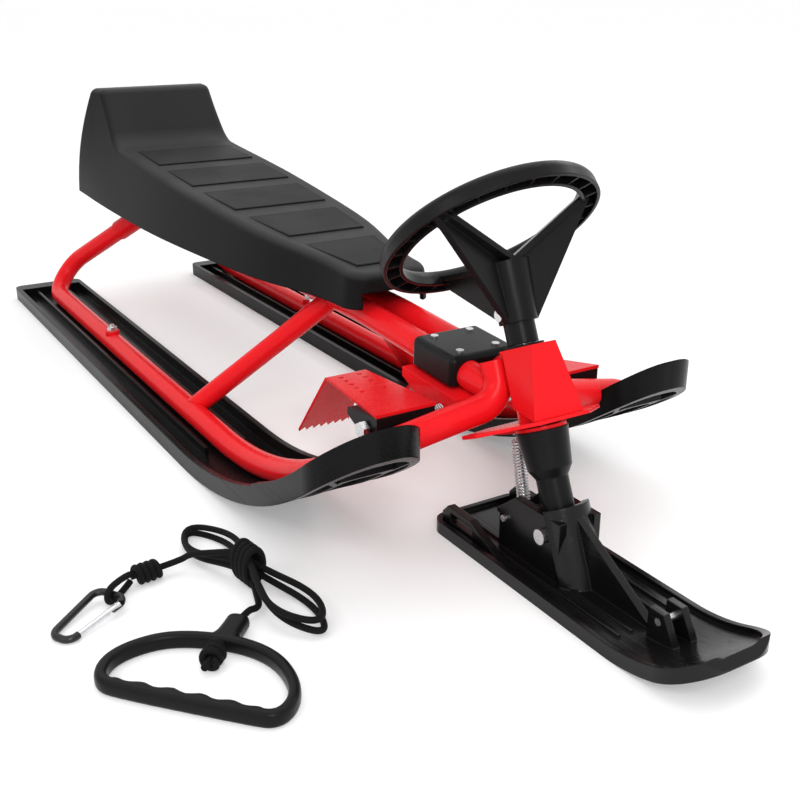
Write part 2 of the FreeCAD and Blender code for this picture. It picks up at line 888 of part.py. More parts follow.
def steering_wheel():
    hub = Part.makeCone(hub_low_r, hub_top_r, hub_height, column(hub_low), COLUMN_UP)
    outer_limit = Part.makeCylinder(wheel_r + wheel_back, 4 * wheel_rise, column(hub_low - wheel_rise),
                                    COLUMN_UP)
    middle, face, ahead = wheel_axes()
    spokes = [wheel_spoke(angle) for angle in spoke_angles]
    spoke_limit = Part.makeCylinder(wheel_r - rim_width / 2, 4 * wheel_rise,
                                    middle - face * (2 * wheel_rise), face)
    spokes = [spoke.common(spoke_limit).common(outer_limit) for spoke in spokes]
    wheel = wheel_rim().fuse([hub] + spokes).removeSplitter()
    sleeve_hole = rod(column(hub_low - overrun), COLUMN_UP, sleeve_r, overrun + hub_socket)
    shaft_hole = rod(column(hub_low), COLUMN_UP, shaft_r, hub_height - hub_socket)
    bolt_at = column(hub_low + wheel_bolt_rise)
    head_seat = rod(bolt_at - LEFT * hub_low_r, LEFT * -1, wheel_bolt_head_r + body_gap, overrun)
    return wheel.cut(sleeve_hole).cut(shaft_hole).cut(across(bolt_at, wheel_bolt_r, overrun)).cut(head_seat)


def wheel_bolt():
    bolt_at = column(hub_low + wheel_bolt_rise)
    head = rod(bolt_at - LEFT * hub_low_r, LEFT * -1, wheel_bolt_head_r, wheel_bolt_head)
    left_end = rod(bolt_at - LEFT * hub_low_r, LEFT, wheel_bolt_r, hub_low_r - shaft_r)
    return head.fuse(left_end).removeSplitter()


def spine_cover():
    """A moulded saddle over both spine tubes."""
    corner = spine(cover_start, -cover_drop, -cover_half)
    outline = [corner, spine(cover_start, cover_top, -cover_half),
               spine(cover_start + cover_length, cover_top, -cover_half),
               spine(cover_start + cover_length, -cover_drop, -cover_half)]
    block = prism(outline, LEFT * (2 * cover_half))
    rounded = edges_near(block, lambda e: (e.CenterOfMass - spine_bend).dot(SPINE_UP) > -cover_drop + cover_round)
    block = block.makeFillet(cover_round, rounded)
    for side in SIDES.values():
        block = block.cut(rod(spine(0, 0, side * spine_y), SPINE_ALONG, tube_r, sled_length))
    return block


def cover_screws():
    screws = []
    for along in (-cover_screw_along, cover_screw_along):
        for left in (-cover_screw_y, cover_screw_y):
            base = spine(cover_start + cover_length / 2 + along, cover_top, left)
            screws.append(rod(base, SPINE_UP, cover_screw_r, cover_screw_head))
    return Part.makeCompound(screws)


def brake_bracket():
    """A sheet channel under the spine whose cheeks carry the brake axle."""
    start = brake_bracket_start
    end = start + brake_bracket_length
    top = -tube_r - seat_touch
    half = brake_bracket_half
    foot = -axle_drop - brake_cheek / 2
    profile = [spine(start, top, -half), spine(end, top, -half), spine(end, foot, -half),
               spine(axle_along - brake_cheek, foot, -half), spine(start, top - brake_cheek / 2, -half)]
    channel = prism(profile, LEFT * (2 * half))
    inner = half - brake_bracket_sheet
    room = prism([spine(start - overrun, top - brake_bracket_sheet, -inner),
                  spine(end + overrun, top - brake_bracket_sheet, -inner),
                  spine(end + overrun, foot - overrun, -inner), spine(start - overrun, foot - overrun,
                                                                      -inner)],
                 LEFT * (2 * inner))
    return channel.cut(room).cut(across(axle, axle_r, sled_width))


def axle_half():
    return pedal_inner_y + pedal_width + body_gap


def pedal_place(ahead, up, y):
    return V(axle.x + ahead, y, axle.z + up)


def pedal_edges(ahead):
    """The inner and outer edge of a pedal at a distance ahead of the axle."""
    stations = ((pedal_front, pedal_inner_y, pedal_inner_y + pedal_width),
                (-pedal_back, fold_inner_y, fold_outer_y),
                (-pedal_back - flange_back, tooth_inner_y, tooth_outer_y))
    for near, far in zip(stations, stations[1:]):
        if ahead >= far[0] - body_gap:
            share = (ahead - near[0]) / (far[0] - near[0])
            return near[1] + (far[1] - near[1]) * share, near[2] + (far[2] - near[2]) * share
    return stations[-1][1:]


def brake_pedal():
    """The left pedal: a drilled foot plate with a toothed flange folded down behind."""
    stations = (pedal_front, -pedal_back, -pedal_back - flange_back)
    heights = (pedal_top, pedal_top - pedal_fall, pedal_top - pedal_fall - flange_fall)
    top = [pedal_place(x, z, 0) for x, z in zip(stations, heights)]
    plate_way = (top[1] - top[0]).normalize()
    flange_way = (top[2] - top[1]).normalize()
    under = [point + plate_way.cross(LEFT) * pedal_sheet for point in top[:1]]
    tip_under = top[2] + flange_way.cross(LEFT) * pedal_sheet
    half = plate_way.getAngle(flange_way) / 2
    fold = (plate_way.cross(LEFT) + flange_way.cross(LEFT)).normalize() * (pedal_sheet / math.cos(half))
    outer = rounded_path(top, [fold_r])
    inner = rounded_path([tip_under, top[1] + fold, under[0]], [fold_r - pedal_sheet])
    edges = outer.Edges + [line(top[2], tip_under)] + inner.Edges + [line(under[0], top[0])]
    sheet = Part.Face(Part.Wire(edges)).extrude(LEFT * sled_width)
    plan = [V(axle.x + x, pedal_edges(x)[0], 0) for x in stations]
    plan += [V(axle.x + x, pedal_edges(x)[1], 0) for x in reversed(stations)]
    sheet = sheet.common(prism(plan, UP * sled_width))
    pitch = (tooth_outer_y - tooth_inner_y) / tooth_count
    across_sheet = flange_way.cross(LEFT)
    for index in range(tooth_count):
        base = top[2] + LEFT * (tooth_inner_y + pitch * index) - across_sheet * pedal_sheet
        notch = prism([base, base + LEFT * (pitch / 2) - flange_way * tooth_depth, base + LEFT * pitch],
                      across_sheet * (3 * pedal_sheet))
        sheet = sheet.cut(notch)
    for share in pedal_row_shares:
        for hole in range(pedal_holes):
            ahead = -pedal_back + pedal_hole_start + hole * pedal_hole_pitch
            inner_y, outer_y = pedal_edges(ahead)
            place = pedal_place(ahead, -overrun, inner_y + (outer_y - inner_y) * share)
            sheet = sheet.cut(rod(place, UP, pedal_hole_r, 2 * overrun))
    return sheet


def pedal_boss():
    """The left pedal's ribbed plastic hub, which turns on the axle."""
    y = pedal_inner_y + boss_inset
    width = pedal_width - 2 * boss_inset
    slope = pedal_fall / (pedal_back + pedal_front)
    level = pedal_top - pedal_sheet * math.sqrt(1 + slope ** 2) - seat_touch

    def under(ahead):
        return level - (pedal_front - ahead) * slope

    barrel = rod(V(axle.x, y, axle.z), LEFT, boss_r, width)
    block = prism([pedal_place(pedal_front, under(pedal_front), y),
                   pedal_place(-boss_back, under(-boss_back), y),
                   pedal_place(-boss_back, under(-boss_back) - boss_r / 2, y),
                   pedal_place(-boss_r / 2, -boss_r * boss_foot_share, y), pedal_place(pedal_front, 0, y)],
                  LEFT * width)
    hub = barrel.fuse(block).removeSplitter()
    pitch = width / (boss_slots + 1)
    for index in range(boss_slots):
        slot_y = y + pitch * (index + 1) - boss_slot / 2
        slot = slab(V(axle.x - boss_back - overrun, slot_y, axle.z - overrun),
                    V(axle.x - boss_back + boss_slot_depth, slot_y + boss_slot,
                      axle.z + under(-boss_back) - boss_roof))
        hub = hub.cut(slot)
    return hub.cut(across(axle, axle_r + shaft_gap, sled_width))


def return_spring():
    """The left pedal's return spring, wound round the axle between cheek and hub."""
    start = V(axle.x, brake_bracket_half, axle.z)
    end = V(axle.x, pedal_inner_y + boss_inset, axle.z)
    return coil(start, end, return_spring_r, return_wire_r, return_turns, 2 * return_wire_r,
                "return spring")


def axle_nuts():
    nuts = []
    for side in SIDES.values():
        base = V(axle.x, side * axle_half(), axle.z)
        nuts.append(hexagon(base, LEFT * side, 2 * axle_nut_r, axle_nut))
    return Part.makeCompound(nuts)


def inset_corners(points, depths):
    """A closed side view with each side moved inwards by its own depth."""
    moved = []
    for index, corner in enumerate(points):
        one = (corner - points[index - 1]).normalize()
        two = (points[(index + 1) % len(points)] - corner).normalize()
        turn = one.x * two.z - one.z * two.x
        moved.append(corner + (two * depths[index - 1] - one * depths[index]) * (1 / turn))
    return moved


def seat_side_view(inset):
    """The seat seen from the side: a raked back and a long, gently falling top."""
    front = seat_front_x + overrun
    corners = [V(front, 0, seat_low_z), V(front, 0, seat_top(front)), V(seat_base_x, 0, seat_base_z),
               V(seat_back_top_x + seat_back_thick, 0, seat_back_top), V(seat_back_top_x, 0, seat_back_top),
               V(seat_rear_x, 0, seat_low_z)]
    if inset:
        corners = inset_corners(corners, [inset] * (len(corners) - 1) + [-overrun])
    path = rounded_path(corners[1:], [seat_lap_r + inset, seat_crest_r - inset, seat_crest_r - inset])
    closing = [line(corners[-1], corners[0]), line(corners[0], corners[1])]
    face = Part.Face(Part.Wire(path.Edges + closing))
    face.translate(LEFT * -sled_width)
    return face.extrude(LEFT * (2 * sled_width))


def seat_half(x, z):
    """Half the seat's width at a place, with its sides leaning in as they rise."""
    share = (x - seat_mid_x) / ((seat_front_x if x > seat_mid_x else seat_rear_x) - seat_mid_x)
    end_half = seat_front_half if x > seat_mid_x else seat_rear_half
    end_lean = seat_front_lean if x > seat_mid_x else seat_rear_lean
    foot = seat_mid_half + (end_half - seat_mid_half) * share ** 2
    lean = seat_mid_lean + (end_lean - seat_mid_lean) * share ** 2
    return foot - lean * (z - seat_low_z)


def seat_ring(z, inset):
    """The seat's outline from above at one height, with round front corners."""
    corner = seat_corner_r - inset
    rear = seat_rear_x - overrun
    front = seat_front_x - inset
    left = []
    for share in seat_station_shares:
        x = rear + (front - corner - rear) * share
        left.append(V(x, seat_half(max(x, seat_rear_x), z) - inset, z))
    turn = left[-1] - LEFT * corner
    bend = turn + V(1, 1, 0) * (corner / math.sqrt(2))
    nose = turn + AHEAD * corner

    def other(point):
        return V(point.x, -point.y, point.z)

    curve = Part.BSplineCurve()
    curve.interpolate(Points=left, InitialTangent=AHEAD, FinalTangent=AHEAD)
    side = curve.toShape()
    far_curve = Part.BSplineCurve()
    far_curve.interpolate(Points=[other(p) for p in reversed(left)], InitialTangent=AHEAD * -1,
                          FinalTangent=AHEAD * -1)
    return Part.Wire([side, arc(left[-1], bend, nose), line(nose, other(nose)),
                      arc(other(nose), other(bend), other(left[-1])), far_curve.toShape(),
                      line(other(left[0]), left[0])])


def seat_block(inset):
    low = seat_low_z - 2 * overrun
    high = seat_back_top + overrun
    plan = Part.makeLoft([seat_ring(low, inset), seat_ring(high, inset)], True, True)
    return seat_side_view(inset).common(plan)


def seat_top(x):
    """The height of the seat's top at a distance along it."""
    share = (x - seat_base_x) / (seat_front_x - seat_base_x)
    return seat_base_z + (seat_front_z - seat_base_z) * share


def seat_panel(index):
    """One shallow ramp across the seat, flush behind and proud at its front edge."""
    start = seat_base_x + panel_start + panel_pitch * index
    rings = []
    for x, rise in ((start, 0), (start + panel_length, panel_rise)):
        z = seat_top(x)
        half = seat_half(x, z) - panel_margin
        corners = [V(x, -half, z - panel_rise), V(x, half, z - panel_rise), V(x, half, z + rise),
                   V(x, -half, z + rise)]
        rings.append(Part.makePolygon(corners + [corners[0]]))
    return Part.makeLoft(rings, True, True)


def seat_crease(edge):
    """Whether an edge runs along the rim of the seat's upper faces."""
    middle = edge.CenterOfMass
    steep = edge.BoundBox.ZLength > steep_share * edge.Length
    side = abs(middle.y) > seat_front_half / 3 or middle.x > seat_front_x - body_gap
    return side and not steep and middle.z > seat_low_z + body_gap


def seat():
    """A hollow moulding open underneath, with bosses that sit on the spine tubes."""
    shell = seat_block(0)
    crease = edges_near(shell, seat_crease)
    shell = shell.makeFillet(seat_edge_r, crease)
    shell = shell.cut(seat_block(seat_wall))
    arch = slab(V(seat_front_x - overrun, -seat_arch_half, seat_low_z - overrun),
                V(seat_front_x + overrun, seat_arch_half, seat_low_z + seat_arch_rise))
    shell = shell.cut(arch)
    extras = [seat_panel(index) for index in range(seat_panels)]
    for x in seat_bolt_xs:
        for side in SIDES.values():
            base = V(x, side * spine_y, spine_z + tube_r + seat_touch)
            extras.append(rod(base, UP, seat_boss_r, seat_top(x) - seat_wall / 2 - base.z))
    shell = shell.fuse(extras).removeSplitter()
    for x in seat_bolt_xs:
        for side in SIDES.values():
            shell = shell.cut(rod(V(x, side * spine_y, spine_z), UP, seat_bolt_r, tube_r + seat_bolt_bite))
    return shell


def seat_bolts():
    bolts = []
    for x in seat_bolt_xs:
        for side in SIDES.values():
            base = V(x, side * spine_y, spine_z - tube_r)
            head = rod(base - UP * seat_bolt_head, UP, seat_bolt_head_r, seat_bolt_head)
            shank = rod(base, UP, seat_bolt_r, 2 * tube_r + seat_bolt_bite)
            bolts.append(head.fuse(shank).removeSplitter())
    return Part.makeCompound(bolts)


def front_ski_at(offset, angle):
    radius = front_ski_upturn_r - offset
    return V(front_ski_rear + front_ski_flat + radius * math.sin(angle), 0,
             front_ski_upturn_r - radius * math.cos(angle))


def front_ski_band(low, high, half, start, end_inset):
    """A layer of the front ski, flat and then turned up."""
    reach = front_ski_length + body_gap - front_ski_flat
    angle = math.asin(reach / front_ski_upturn_r) - end_inset / front_ski_upturn_r
    outline = Part.Wire([
        line(V(start, 0, low), front_ski_at(low, 0)),
        arc(front_ski_at(low, 0), front_ski_at(low, angle / 2), front_ski_at(low, angle)),
        line(front_ski_at(low, angle), front_ski_at(high, angle)),
        arc(front_ski_at(high, angle), front_ski_at(high, angle / 2), front_ski_at(high, 0)),
        line(front_ski_at(high, 0), V(start, 0, high)),
        line(V(start, 0, high), V(start, 0, low))])
    face = Part.Face(outline)
    face.translate(LEFT * -half)
    return face.extrude(LEFT * (2 * half))


def front_ski_plan(inset):
    half = front_ski_half - inset
    return rounded_block(V(front_ski_rear + inset, -half, -overrun),
                         V(sled_length - inset, half, 2 * front_ski_upturn_r),
                         front_ski_rear_r - inset, front_ski_tip_r - inset)


def ski_socket():
    """Cheeks for the pivot bolt and a half-round wall ahead of the column."""
    inner = lower_column_r + cheek_gap
    low = front_ski_sole
    top = pivot_z + cheek_top
    pieces = []
    for side in SIDES.values():
        y = inner if side > 0 else -inner - cheek_thick
        profile = [V(pivot_x - cheek_rear, y, low), V(pivot_x - cheek_rear, y, pivot_z + cheek_rear_top),
                   V(pivot_x - cheek_front - cheek_top, y, top), V(pivot_x + cheek_front, y, top),
                   V(pivot_x + cheek_front, y, low)]
        pieces.append(prism(profile, LEFT * cheek_thick))
    bore = lower_column_r + socket_gap
    tower = rod(column(-pivot_z - overrun), COLUMN_UP, bore + socket_wall, pivot_z + overrun + socket_top)
    tower = tower.cut(rod(column(-pivot_z - 2 * overrun), COLUMN_UP, bore, 2 * pivot_z + 4 * overrun))
    front_half = prism([column(-pivot_z - overrun, socket_start, -overrun),
                        column(-pivot_z - overrun, 2 * overrun, -overrun),
                        column(2 * overrun, 2 * overrun, -overrun), column(2 * overrun, socket_start,
                                                                           -overrun)],
                       LEFT * (2 * overrun))
    tower = tower.common(front_half)
    tower = tower.cut(slab(V(0, -overrun, -2 * sled_width), V(2 * sled_length, overrun, low)))
    face_x = column(socket_top - socket_wall, bore + socket_wall / 2)
    gusset = prism([V(face_x.x, -gusset_thick / 2, face_x.z), V(pivot_x + gusset_end, -gusset_thick / 2,
                                                                front_ski_edge),
                    V(pivot_x + gusset_end, -gusset_thick / 2, low),
                    V(column(-pivot_z / 2, bore + socket_wall / 2).x, -gusset_thick / 2, low)],
                    LEFT * gusset_thick)
    return pieces + [tower, gusset]


def tow_ears():
    ears = []
    for side in SIDES.values():
        y = ear_gap / 2 if side > 0 else -ear_gap / 2 - ear_thick
        start = pivot_x + ear_x
        ear = prism([V(start, y, front_ski_sole), V(start, y, ear_height),
                     V(start + ear_length / 2, y, ear_height),
                     V(start + ear_length, y, front_ski_sole)], LEFT * ear_thick)
        ears.append(ear)
    return ears


def rear_loops():
    """Two fins with hand windows at the back of the front ski."""
    fins = []
    for side in SIDES.values():
        y = side * loop_y - loop_thick / 2
        start = front_ski_rear + loop_start
        top = front_ski_sole + loop_height
        fin = prism([V(start, y, front_ski_sole), V(start, y, top - loop_window_height),
                     V(start + loop_window_height, y, top), V(start + loop_length / 2, y, top),
                     V(start + loop_length, y, front_ski_sole)], LEFT * loop_thick)
        window_low = front_ski_sole + (loop_height - loop_window_height) / 2
        window = slab(V(start + loop_window_start - loop_window_height, y - overrun, window_low),
                      V(start + loop_window_start - loop_window_height + loop_window_length, y + overrun,
                        window_low + loop_window_height))
        fins.append(fin.cut(window))
    return fins


def ridges():
    """Long ridges on the deck of the front ski."""
    start = front_ski_rear + front_ski_rear_r
    bars = []
    for share in ridge_ys_share:
        for side in SIDES.values():
            y = side * share * front_ski_half
            bars.append(slab(V(start, y - ridge_width / 2, front_ski_sole - ridge_height),
                             V(front_ski_rear + front_ski_flat, y + ridge_width / 2,
                               front_ski_sole + ridge_height)))
    return bars


def front_ski():
    body = front_ski_band(0, front_ski_edge, front_ski_half, front_ski_rear, 0).common(front_ski_plan(0))
    deck = front_ski_band(front_ski_sole, front_ski_edge + overrun, front_ski_half, front_ski_rear, 0)
    body = body.cut(deck.common(front_ski_plan(front_ski_rim)))
    body = body.fuse(ski_socket() + tow_ears() + rear_loops() + ridges()).removeSplitter()
    room = rod(column(-pivot_z - overrun), COLUMN_UP, lower_column_r + socket_gap, 2 * pivot_z + overrun)
    room = room.common(slab(V(0, -lower_column_r - cheek_gap, front_ski_sole),
                            V(2 * sled_length, lower_column_r + cheek_gap, sled_length)))
    body = body.cut(room)
    body = body.cut(across(column(0), pivot_bolt_r, sled_width))
    body = body.cut(across(spring_bar_middle(), spring_bar_r, sled_width))
    return body.cut(across(ear_pin_middle(), ear_pin_r, overrun))


def spring_bar_middle():
    return V(pivot_x - spring_bar_back, 0, pivot_z - spring_bar_drop)


def ear_pin_middle():
    return V(pivot_x + ear_x + ear_length / 3, 0, ear_height - ear_pin_drop)


def cheek_outer():
    return lower_column_r + cheek_gap + cheek_thick


def pivot_bolt():
    head = rod(column(0) - LEFT * cheek_outer(), LEFT * -1, pivot_head_r, pivot_head)
    shank = rod(column(0) - LEFT * cheek_outer(), LEFT, pivot_bolt_r, 2 * cheek_outer() + nut_height)
    return head.fuse(shank).removeSplitter()


def pivot_nut():
    base = column(0) + LEFT * cheek_outer()
    return hexagon(base, LEFT, 2 * pivot_head_r, nut_height).cut(rod(base, LEFT, pivot_bolt_r, nut_height))


def ski_spring():
    """The tension spring between the hanger's tab and the bar on the ski."""
    top = column(hanger_low - body_gap, -hanger_reach + spring_coil_r + spring_hook)
    bar = spring_bar_middle()
    way = (bar - top).normalize()
    return coil(top, bar - way * spring_bar_r, spring_coil_r, spring_wire_r, spring_turns, 2 * spring_wire_r,
                "ski spring")


def on_floor(x, y, turn, along, out, z):
    """A place on the snow, given in the directions of a piece that lies turned there."""
    angle = math.radians(turn)
    return V(x + along * math.cos(angle) - out * math.sin(angle),
             y + along * math.sin(angle) + out * math.cos(angle), z)


def handle_at(along, out, z=0.0):
    return on_floor(handle_x, handle_y, handle_turn, along, out, z)


def tow_handle():
    """A D-shaped grip with finger hollows and a drilled stem for the rope."""
    def outline(inset):
        return [handle_at(-handle_half + inset, -handle_low + inset), handle_at(handle_half - inset,
                                                                                -handle_low + inset),
                handle_at(handle_half - inset, handle_side), handle_at(handle_shoulder - inset / 3,
                                                                       handle_high - inset),
                handle_at(-handle_shoulder + inset / 3, handle_high - inset),
                handle_at(-handle_half + inset, handle_side)]
    outer = prism(outline(0), UP * handle_thick)
    outer = outer.makeFillet(handle_corner_r, uprights(outer))
    inner = prism(outline(handle_bar), UP * handle_thick)
    inner = inner.makeFillet(handle_corner_r / 2, uprights(inner))
    stem = prism([handle_at(-stem_half, handle_high - handle_bar),
                  handle_at(stem_half, handle_high - handle_bar),
                  handle_at(stem_half, handle_high + stem_length),
                  handle_at(-stem_half, handle_high + stem_length)],
                 UP * handle_thick)
    grip = outer.cut(inner).fuse(stem).removeSplitter()
    pitch = 2 * (handle_half - handle_bar - handle_corner_r / 3) / finger_count
    for index in range(finger_count):
        along = pitch * (index - (finger_count - 1) / 2)
        grip = grip.cut(rod(handle_at(along, -handle_low + handle_bar + finger_r - finger_depth), UP,
                            finger_r,
                            handle_thick))
    rim = edges_near(grip, lambda e: e.CenterOfMass.z > handle_thick - body_gap
                     or e.CenterOfMass.z < body_gap)
    grip = grip.makeFillet(handle_round / 2, rim)
    way = handle_at(0, 1) - handle_at(0, 0)
    return grip.cut(rod(handle_at(0, 0, knot_z), way, rope_r + rope_play,
                        2 * handle_high + stem_length))


def cord_path(points):
    """A cord's route with each bend as large as its runs allow."""
    radii = []
    for before, corner, after in zip(points, points[1:], points[2:]):
        half = (before - corner).getAngle(after - corner) / 2
        shorter = min((before - corner).Length, (after - corner).Length)
        radii.append(rope_bend_share * shorter * math.tan(half))
    print("cord radii", [round(radius, 1) for radius in radii])
    return rounded_path(points, radii)


def cord(points, name):
    path = cord_path(points)
    solid = swept(path, rope_r)
    print(name, "volume over section times length",
          round(solid.Volume / (math.pi * rope_r ** 2 * path.Length), 4))
    return solid


def hank_at(along, out, z):
    return on_floor(hank_x, hank_y, hank_turn, along, out, z)


def hank_layer(level, share):
    """A strand's height in one layer of the hank, from its ends (share 0) to its waist (share 1)."""
    step = 2 * rope_r + rope_air
    return rope_r + level * step + (hank_lift - rope_r) * share


def hank_points():
    """The hank's loops, one on another, drawn in at the waist and each climbing along its last run."""
    mouth_share = 1 - hank_mouth_along / hank_half / hank_belly_share
    points = [(hank_mouth_along, -hank_mouth_out, hank_layer(0, mouth_share))]
    for level in range(hank_loops):
        fan = hank_fan * level
        end = hank_half - fan
        belly = hank_belly + fan
        turn = end * hank_belly_share
        points += [(hank_run, -hank_waist, hank_layer(level, 1)), (-hank_run, -hank_waist, hank_layer(level,
                                                                                                      1)),
                   (-turn, -belly, hank_layer(level, 0)), (-end, 0, hank_layer(level, 0)),
                   (-turn, belly, hank_layer(level, 0)),
                   (-hank_run, hank_waist, hank_layer(level, 1)), (hank_run, hank_waist, hank_layer(level,
                                                                                                    1)),
                   (turn, belly, hank_layer(level, 0)), (end, 0, hank_layer(level + 0.5, 0)),
                   (turn, -belly, hank_layer(level + 1, 0))]
    points += [(hank_run, -hank_waist, hank_layer(hank_loops, 1)),
               (-hank_run, -hank_waist, hank_layer(hank_loops, 1)),
               (-hank_exit_along, -hank_exit_out, hank_layer(hank_loops, mouth_share))]
    return [hank_at(*point) for point in points]


def smooth_ways(points):
    """A direction at each point of a route, taken from its neighbours."""
    ways = [(points[1] - points[0]).normalize()]
    for before, here, after in zip(points, points[1:], points[2:]):
        one = here - before
        two = after - here
        ways.append((one * (two.Length / one.Length) + two * (one.Length / two.Length)).normalize())
    return ways + [(points[-1] - points[-2]).normalize()]


def tow_hank():
    points = hank_points()
    path = biarcs(points, smooth_ways(points))
    least_gap(path, rope_r, "tow hank")
    return swept(path, rope_r)


def hank_wrap():
    """Turns of rope wound round the waist of the hank."""
    middle = (hank_layer(0, 1) + hank_layer(hank_loops, 1)) / 2
    tall = middle - rope_r
    bend = tall - wrap_corner
    step = 2 * rope_r + rope_air
    quarter = math.pi / 2 * wrap_half
    around = 4 * quarter + 4 * bend
    along_way = hank_at(1, 0, 0) - hank_at(0, 0, 0)
    out_way = hank_at(0, 1, 0) - hank_at(0, 0, 0)
    turn = [(0, -tall, out_way, quarter), (wrap_half, -bend, UP, 2 * bend), (wrap_half, bend, UP, quarter),
            (0, tall, out_way * -1, quarter), (-wrap_half, bend, UP * -1, 2 * bend),
            (-wrap_half, -bend, UP * -1, quarter)]
    points = []
    ways = []
    gone = 0
    for out, up, way, run in turn * wrap_turns + turn[:1]:
        points.append(hank_at(step * (gone / around - wrap_turns / 2), out, middle + up))
        ways.append((way + along_way * (step / around)).normalize())
        gone += run
    path = biarcs(points, ways)
    least_gap(path, rope_r, "hank wrap")
    return swept(path, rope_r)


def rope_lead():
    """From the knot in the handle out through its stem to the hank."""
    points = hank_points()
    mouth = points[0]
    way = (points[1] - mouth).normalize()
    inside = handle_high - handle_bar - knot_length
    return cord([handle_at(0, inside, knot_z),
                 handle_at(0, handle_high + stem_length + lead_straight / 2, knot_z),
                 mouth - way * lead_straight, mouth], "rope lead")


def knot_at(along, out=0.0, z=0.0):
    return on_floor(knot_x, knot_y, knot_turn, along, out, knot_z + z)


def rope_tail():
    """From the hank down to the knot of the eye."""
    points = hank_points()
    mouth = points[-1]
    way = (mouth - points[-2]).normalize()
    return cord([mouth, mouth + way * tail_straight, knot_at(-tail_straight), knot_at(knot_length)],
                "rope tail")


def knot(start, end, name):
    """A barrel knot: turns of rope round the rope."""
    return coil(start, end, knot_coil_r, rope_r, knot_turns, knot_lead, name)


def eye_loop():
    """The eye of the rope: over the hook's bar and back under it."""
    start = knot_at(knot_length)
    way = V(hook_back_x - start.x, hook_back_y - start.y, 0).normalize()
    bend = hook_bar_r + rope_r + hook_air
    far = V(hook_back_x, hook_back_y, rope_r) + way * bend
    points = [start + UP * eye_spread + way * eye_start,
              V(start.x, start.y, rope_r + 2 * bend) + way * eye_run,
              far + UP * (2 * bend), far,
              V(start.x, start.y, rope_r) + way * eye_run, start - UP * eye_spread + way * eye_start]
    path = rounded_path(points, [eye_run, bend * 0.98, bend * 0.98, eye_run])
    return swept(path, rope_r)


def hook_at(along, out, z=0.0):
    """A place on the snap hook, which lies with its back on the rope and its nose on the snow."""
    high = 2 * rope_r + hook_air + hook_bar_r
    drop = (high - hook_bar_r) * along / hook_length
    return on_floor(hook_back_x, hook_back_y, hook_turn, along, out, high - drop + z)


def hook_corners():
    return [hook_at(hook_length, hook_narrow / 2), hook_at(hook_length, -hook_narrow / 2),
            hook_at(0, -hook_wide / 2), hook_at(0, hook_wide / 2)]


def gate_ends():
    """The root and the nose of the hook's gate."""
    nose_corner, root_corner = hook_corners()[0], hook_corners()[3]
    side = nose_corner - root_corner
    return root_corner + side * gate_root_share, root_corner + side * gate_nose_share


def lap(upper):
    """The half of the gate's root joint that one piece gives up to the other."""
    root, nose = gate_ends()
    way = (nose - root).normalize()
    block = Part.makeBox(2 * gate_lap, 4 * hook_bar_r, 2 * hook_bar_r, V(-gate_lap, -2 * hook_bar_r, 0))
    if not upper:
        block.translate(UP * (-2 * hook_bar_r))
    block.rotate(V(0, 0, 0), UP, math.degrees(math.atan2(way.y, way.x)))
    block.translate(root + UP * (-body_gap / 2 if upper else body_gap / 2))
    return block


def snap_hook():
    root, nose = gate_ends()
    way = (nose - root).normalize()
    path = rounded_path([nose + way * hook_air] + hook_corners() + [root + way * (gate_lap / 2)],
                        [hook_bend_r] * 4)
    body = swept(path, hook_bar_r).cut(lap(True))
    return body.cut(rod(root - UP * overrun, UP, gate_pin_r, 2 * overrun))


def hook_gate():
    root, nose = gate_ends()
    way = (nose - root).normalize()
    bar = rod(root - way * (gate_lap / 2), way, gate_r, (nose - root).Length + gate_lap / 2)
    return bar.cut(lap(False)).cut(rod(root - UP * overrun, UP, gate_pin_r + shaft_gap, 2 * overrun))


def gate_pin():
    root = gate_ends()[0]
    return rod(root - UP * hook_bar_r, UP, gate_pin_r, 2 * hook_bar_r)


def export(name, shape):
    """Moves a piece to the sled's own origin and writes it."""
    solid = shape.copy()
    solid.translate(AHEAD * (-sled_length / 2))
    solid.exportStep(os.path.join("parts", name + ".step"))
    print(name, "solids", len(solid.Solids), "volume", round(solid.Volume / 1000.0, 1), "valid",
          solid.isValid())


def export_pair(kind, left_shape):
    export("left_" + kind, left_shape)
    export("right_" + kind, mirrored(left_shape))


os.makedirs("parts", exist_ok=True)
ski = rear_ski()
side_tube, hoop, spine_tube, strut = frame_tubes()
for kind, piece in (("ski_bolts", ski_bolt()), ("ski_saddles", ski_saddle()), ("ski_nuts", ski_nut())):
    copies = []
    for sign in SIDES.values():
        placed = piece.copy()
        placed.translate(LEFT * (sign * ski_y))
        copies.append(placed)
    export(kind, Part.makeCompound(copies))
for kind, piece in (("rear_ski", ski), ("side_tube", side_tube), ("spine_tube", spine_tube),
                    ("strut", strut)):
    export_pair(kind, mirrored(piece))
export("rear_hoop", hoop)
export("head_tube", head_tube())
export("head_bracket", head_bracket())
export("head_plate", bottom_plate())
export("upper_bush", bush(column(head_top), COLUMN_UP * -1))
export("lower_bush", bush(column(plate_low), COLUMN_UP))
export("steering_shaft", steering_shaft())
export("upper_column", upper_column())
export("lower_column", lower_column())
export("spring_hanger", spring_hanger())
export("steering_wheel", steering_wheel())
export("wheel_bolt", wheel_bolt())
export("spine_cover", spine_cover())
export("cover_screws", cover_screws())
export("brake_bracket", brake_bracket())
export("brake_axle", across(axle, axle_r, axle_half()))
export("axle_nuts", axle_nuts())
export_pair("brake_pedal", brake_pedal())
export_pair("pedal_boss", pedal_boss())
export_pair("return_spring", return_spring())
export("seat", seat())
export("seat_bolts", seat_bolts())
export("front_ski", front_ski())
export("pivot_bolt", pivot_bolt())
export("pivot_nut", pivot_nut())
export("spring_bar", across(spring_bar_middle(), spring_bar_r, cheek_outer() + bolt_tail))
export("tow_pin", across(ear_pin_middle(), ear_pin_r, ear_gap / 2 + ear_thick))
export("ski_spring", ski_spring())
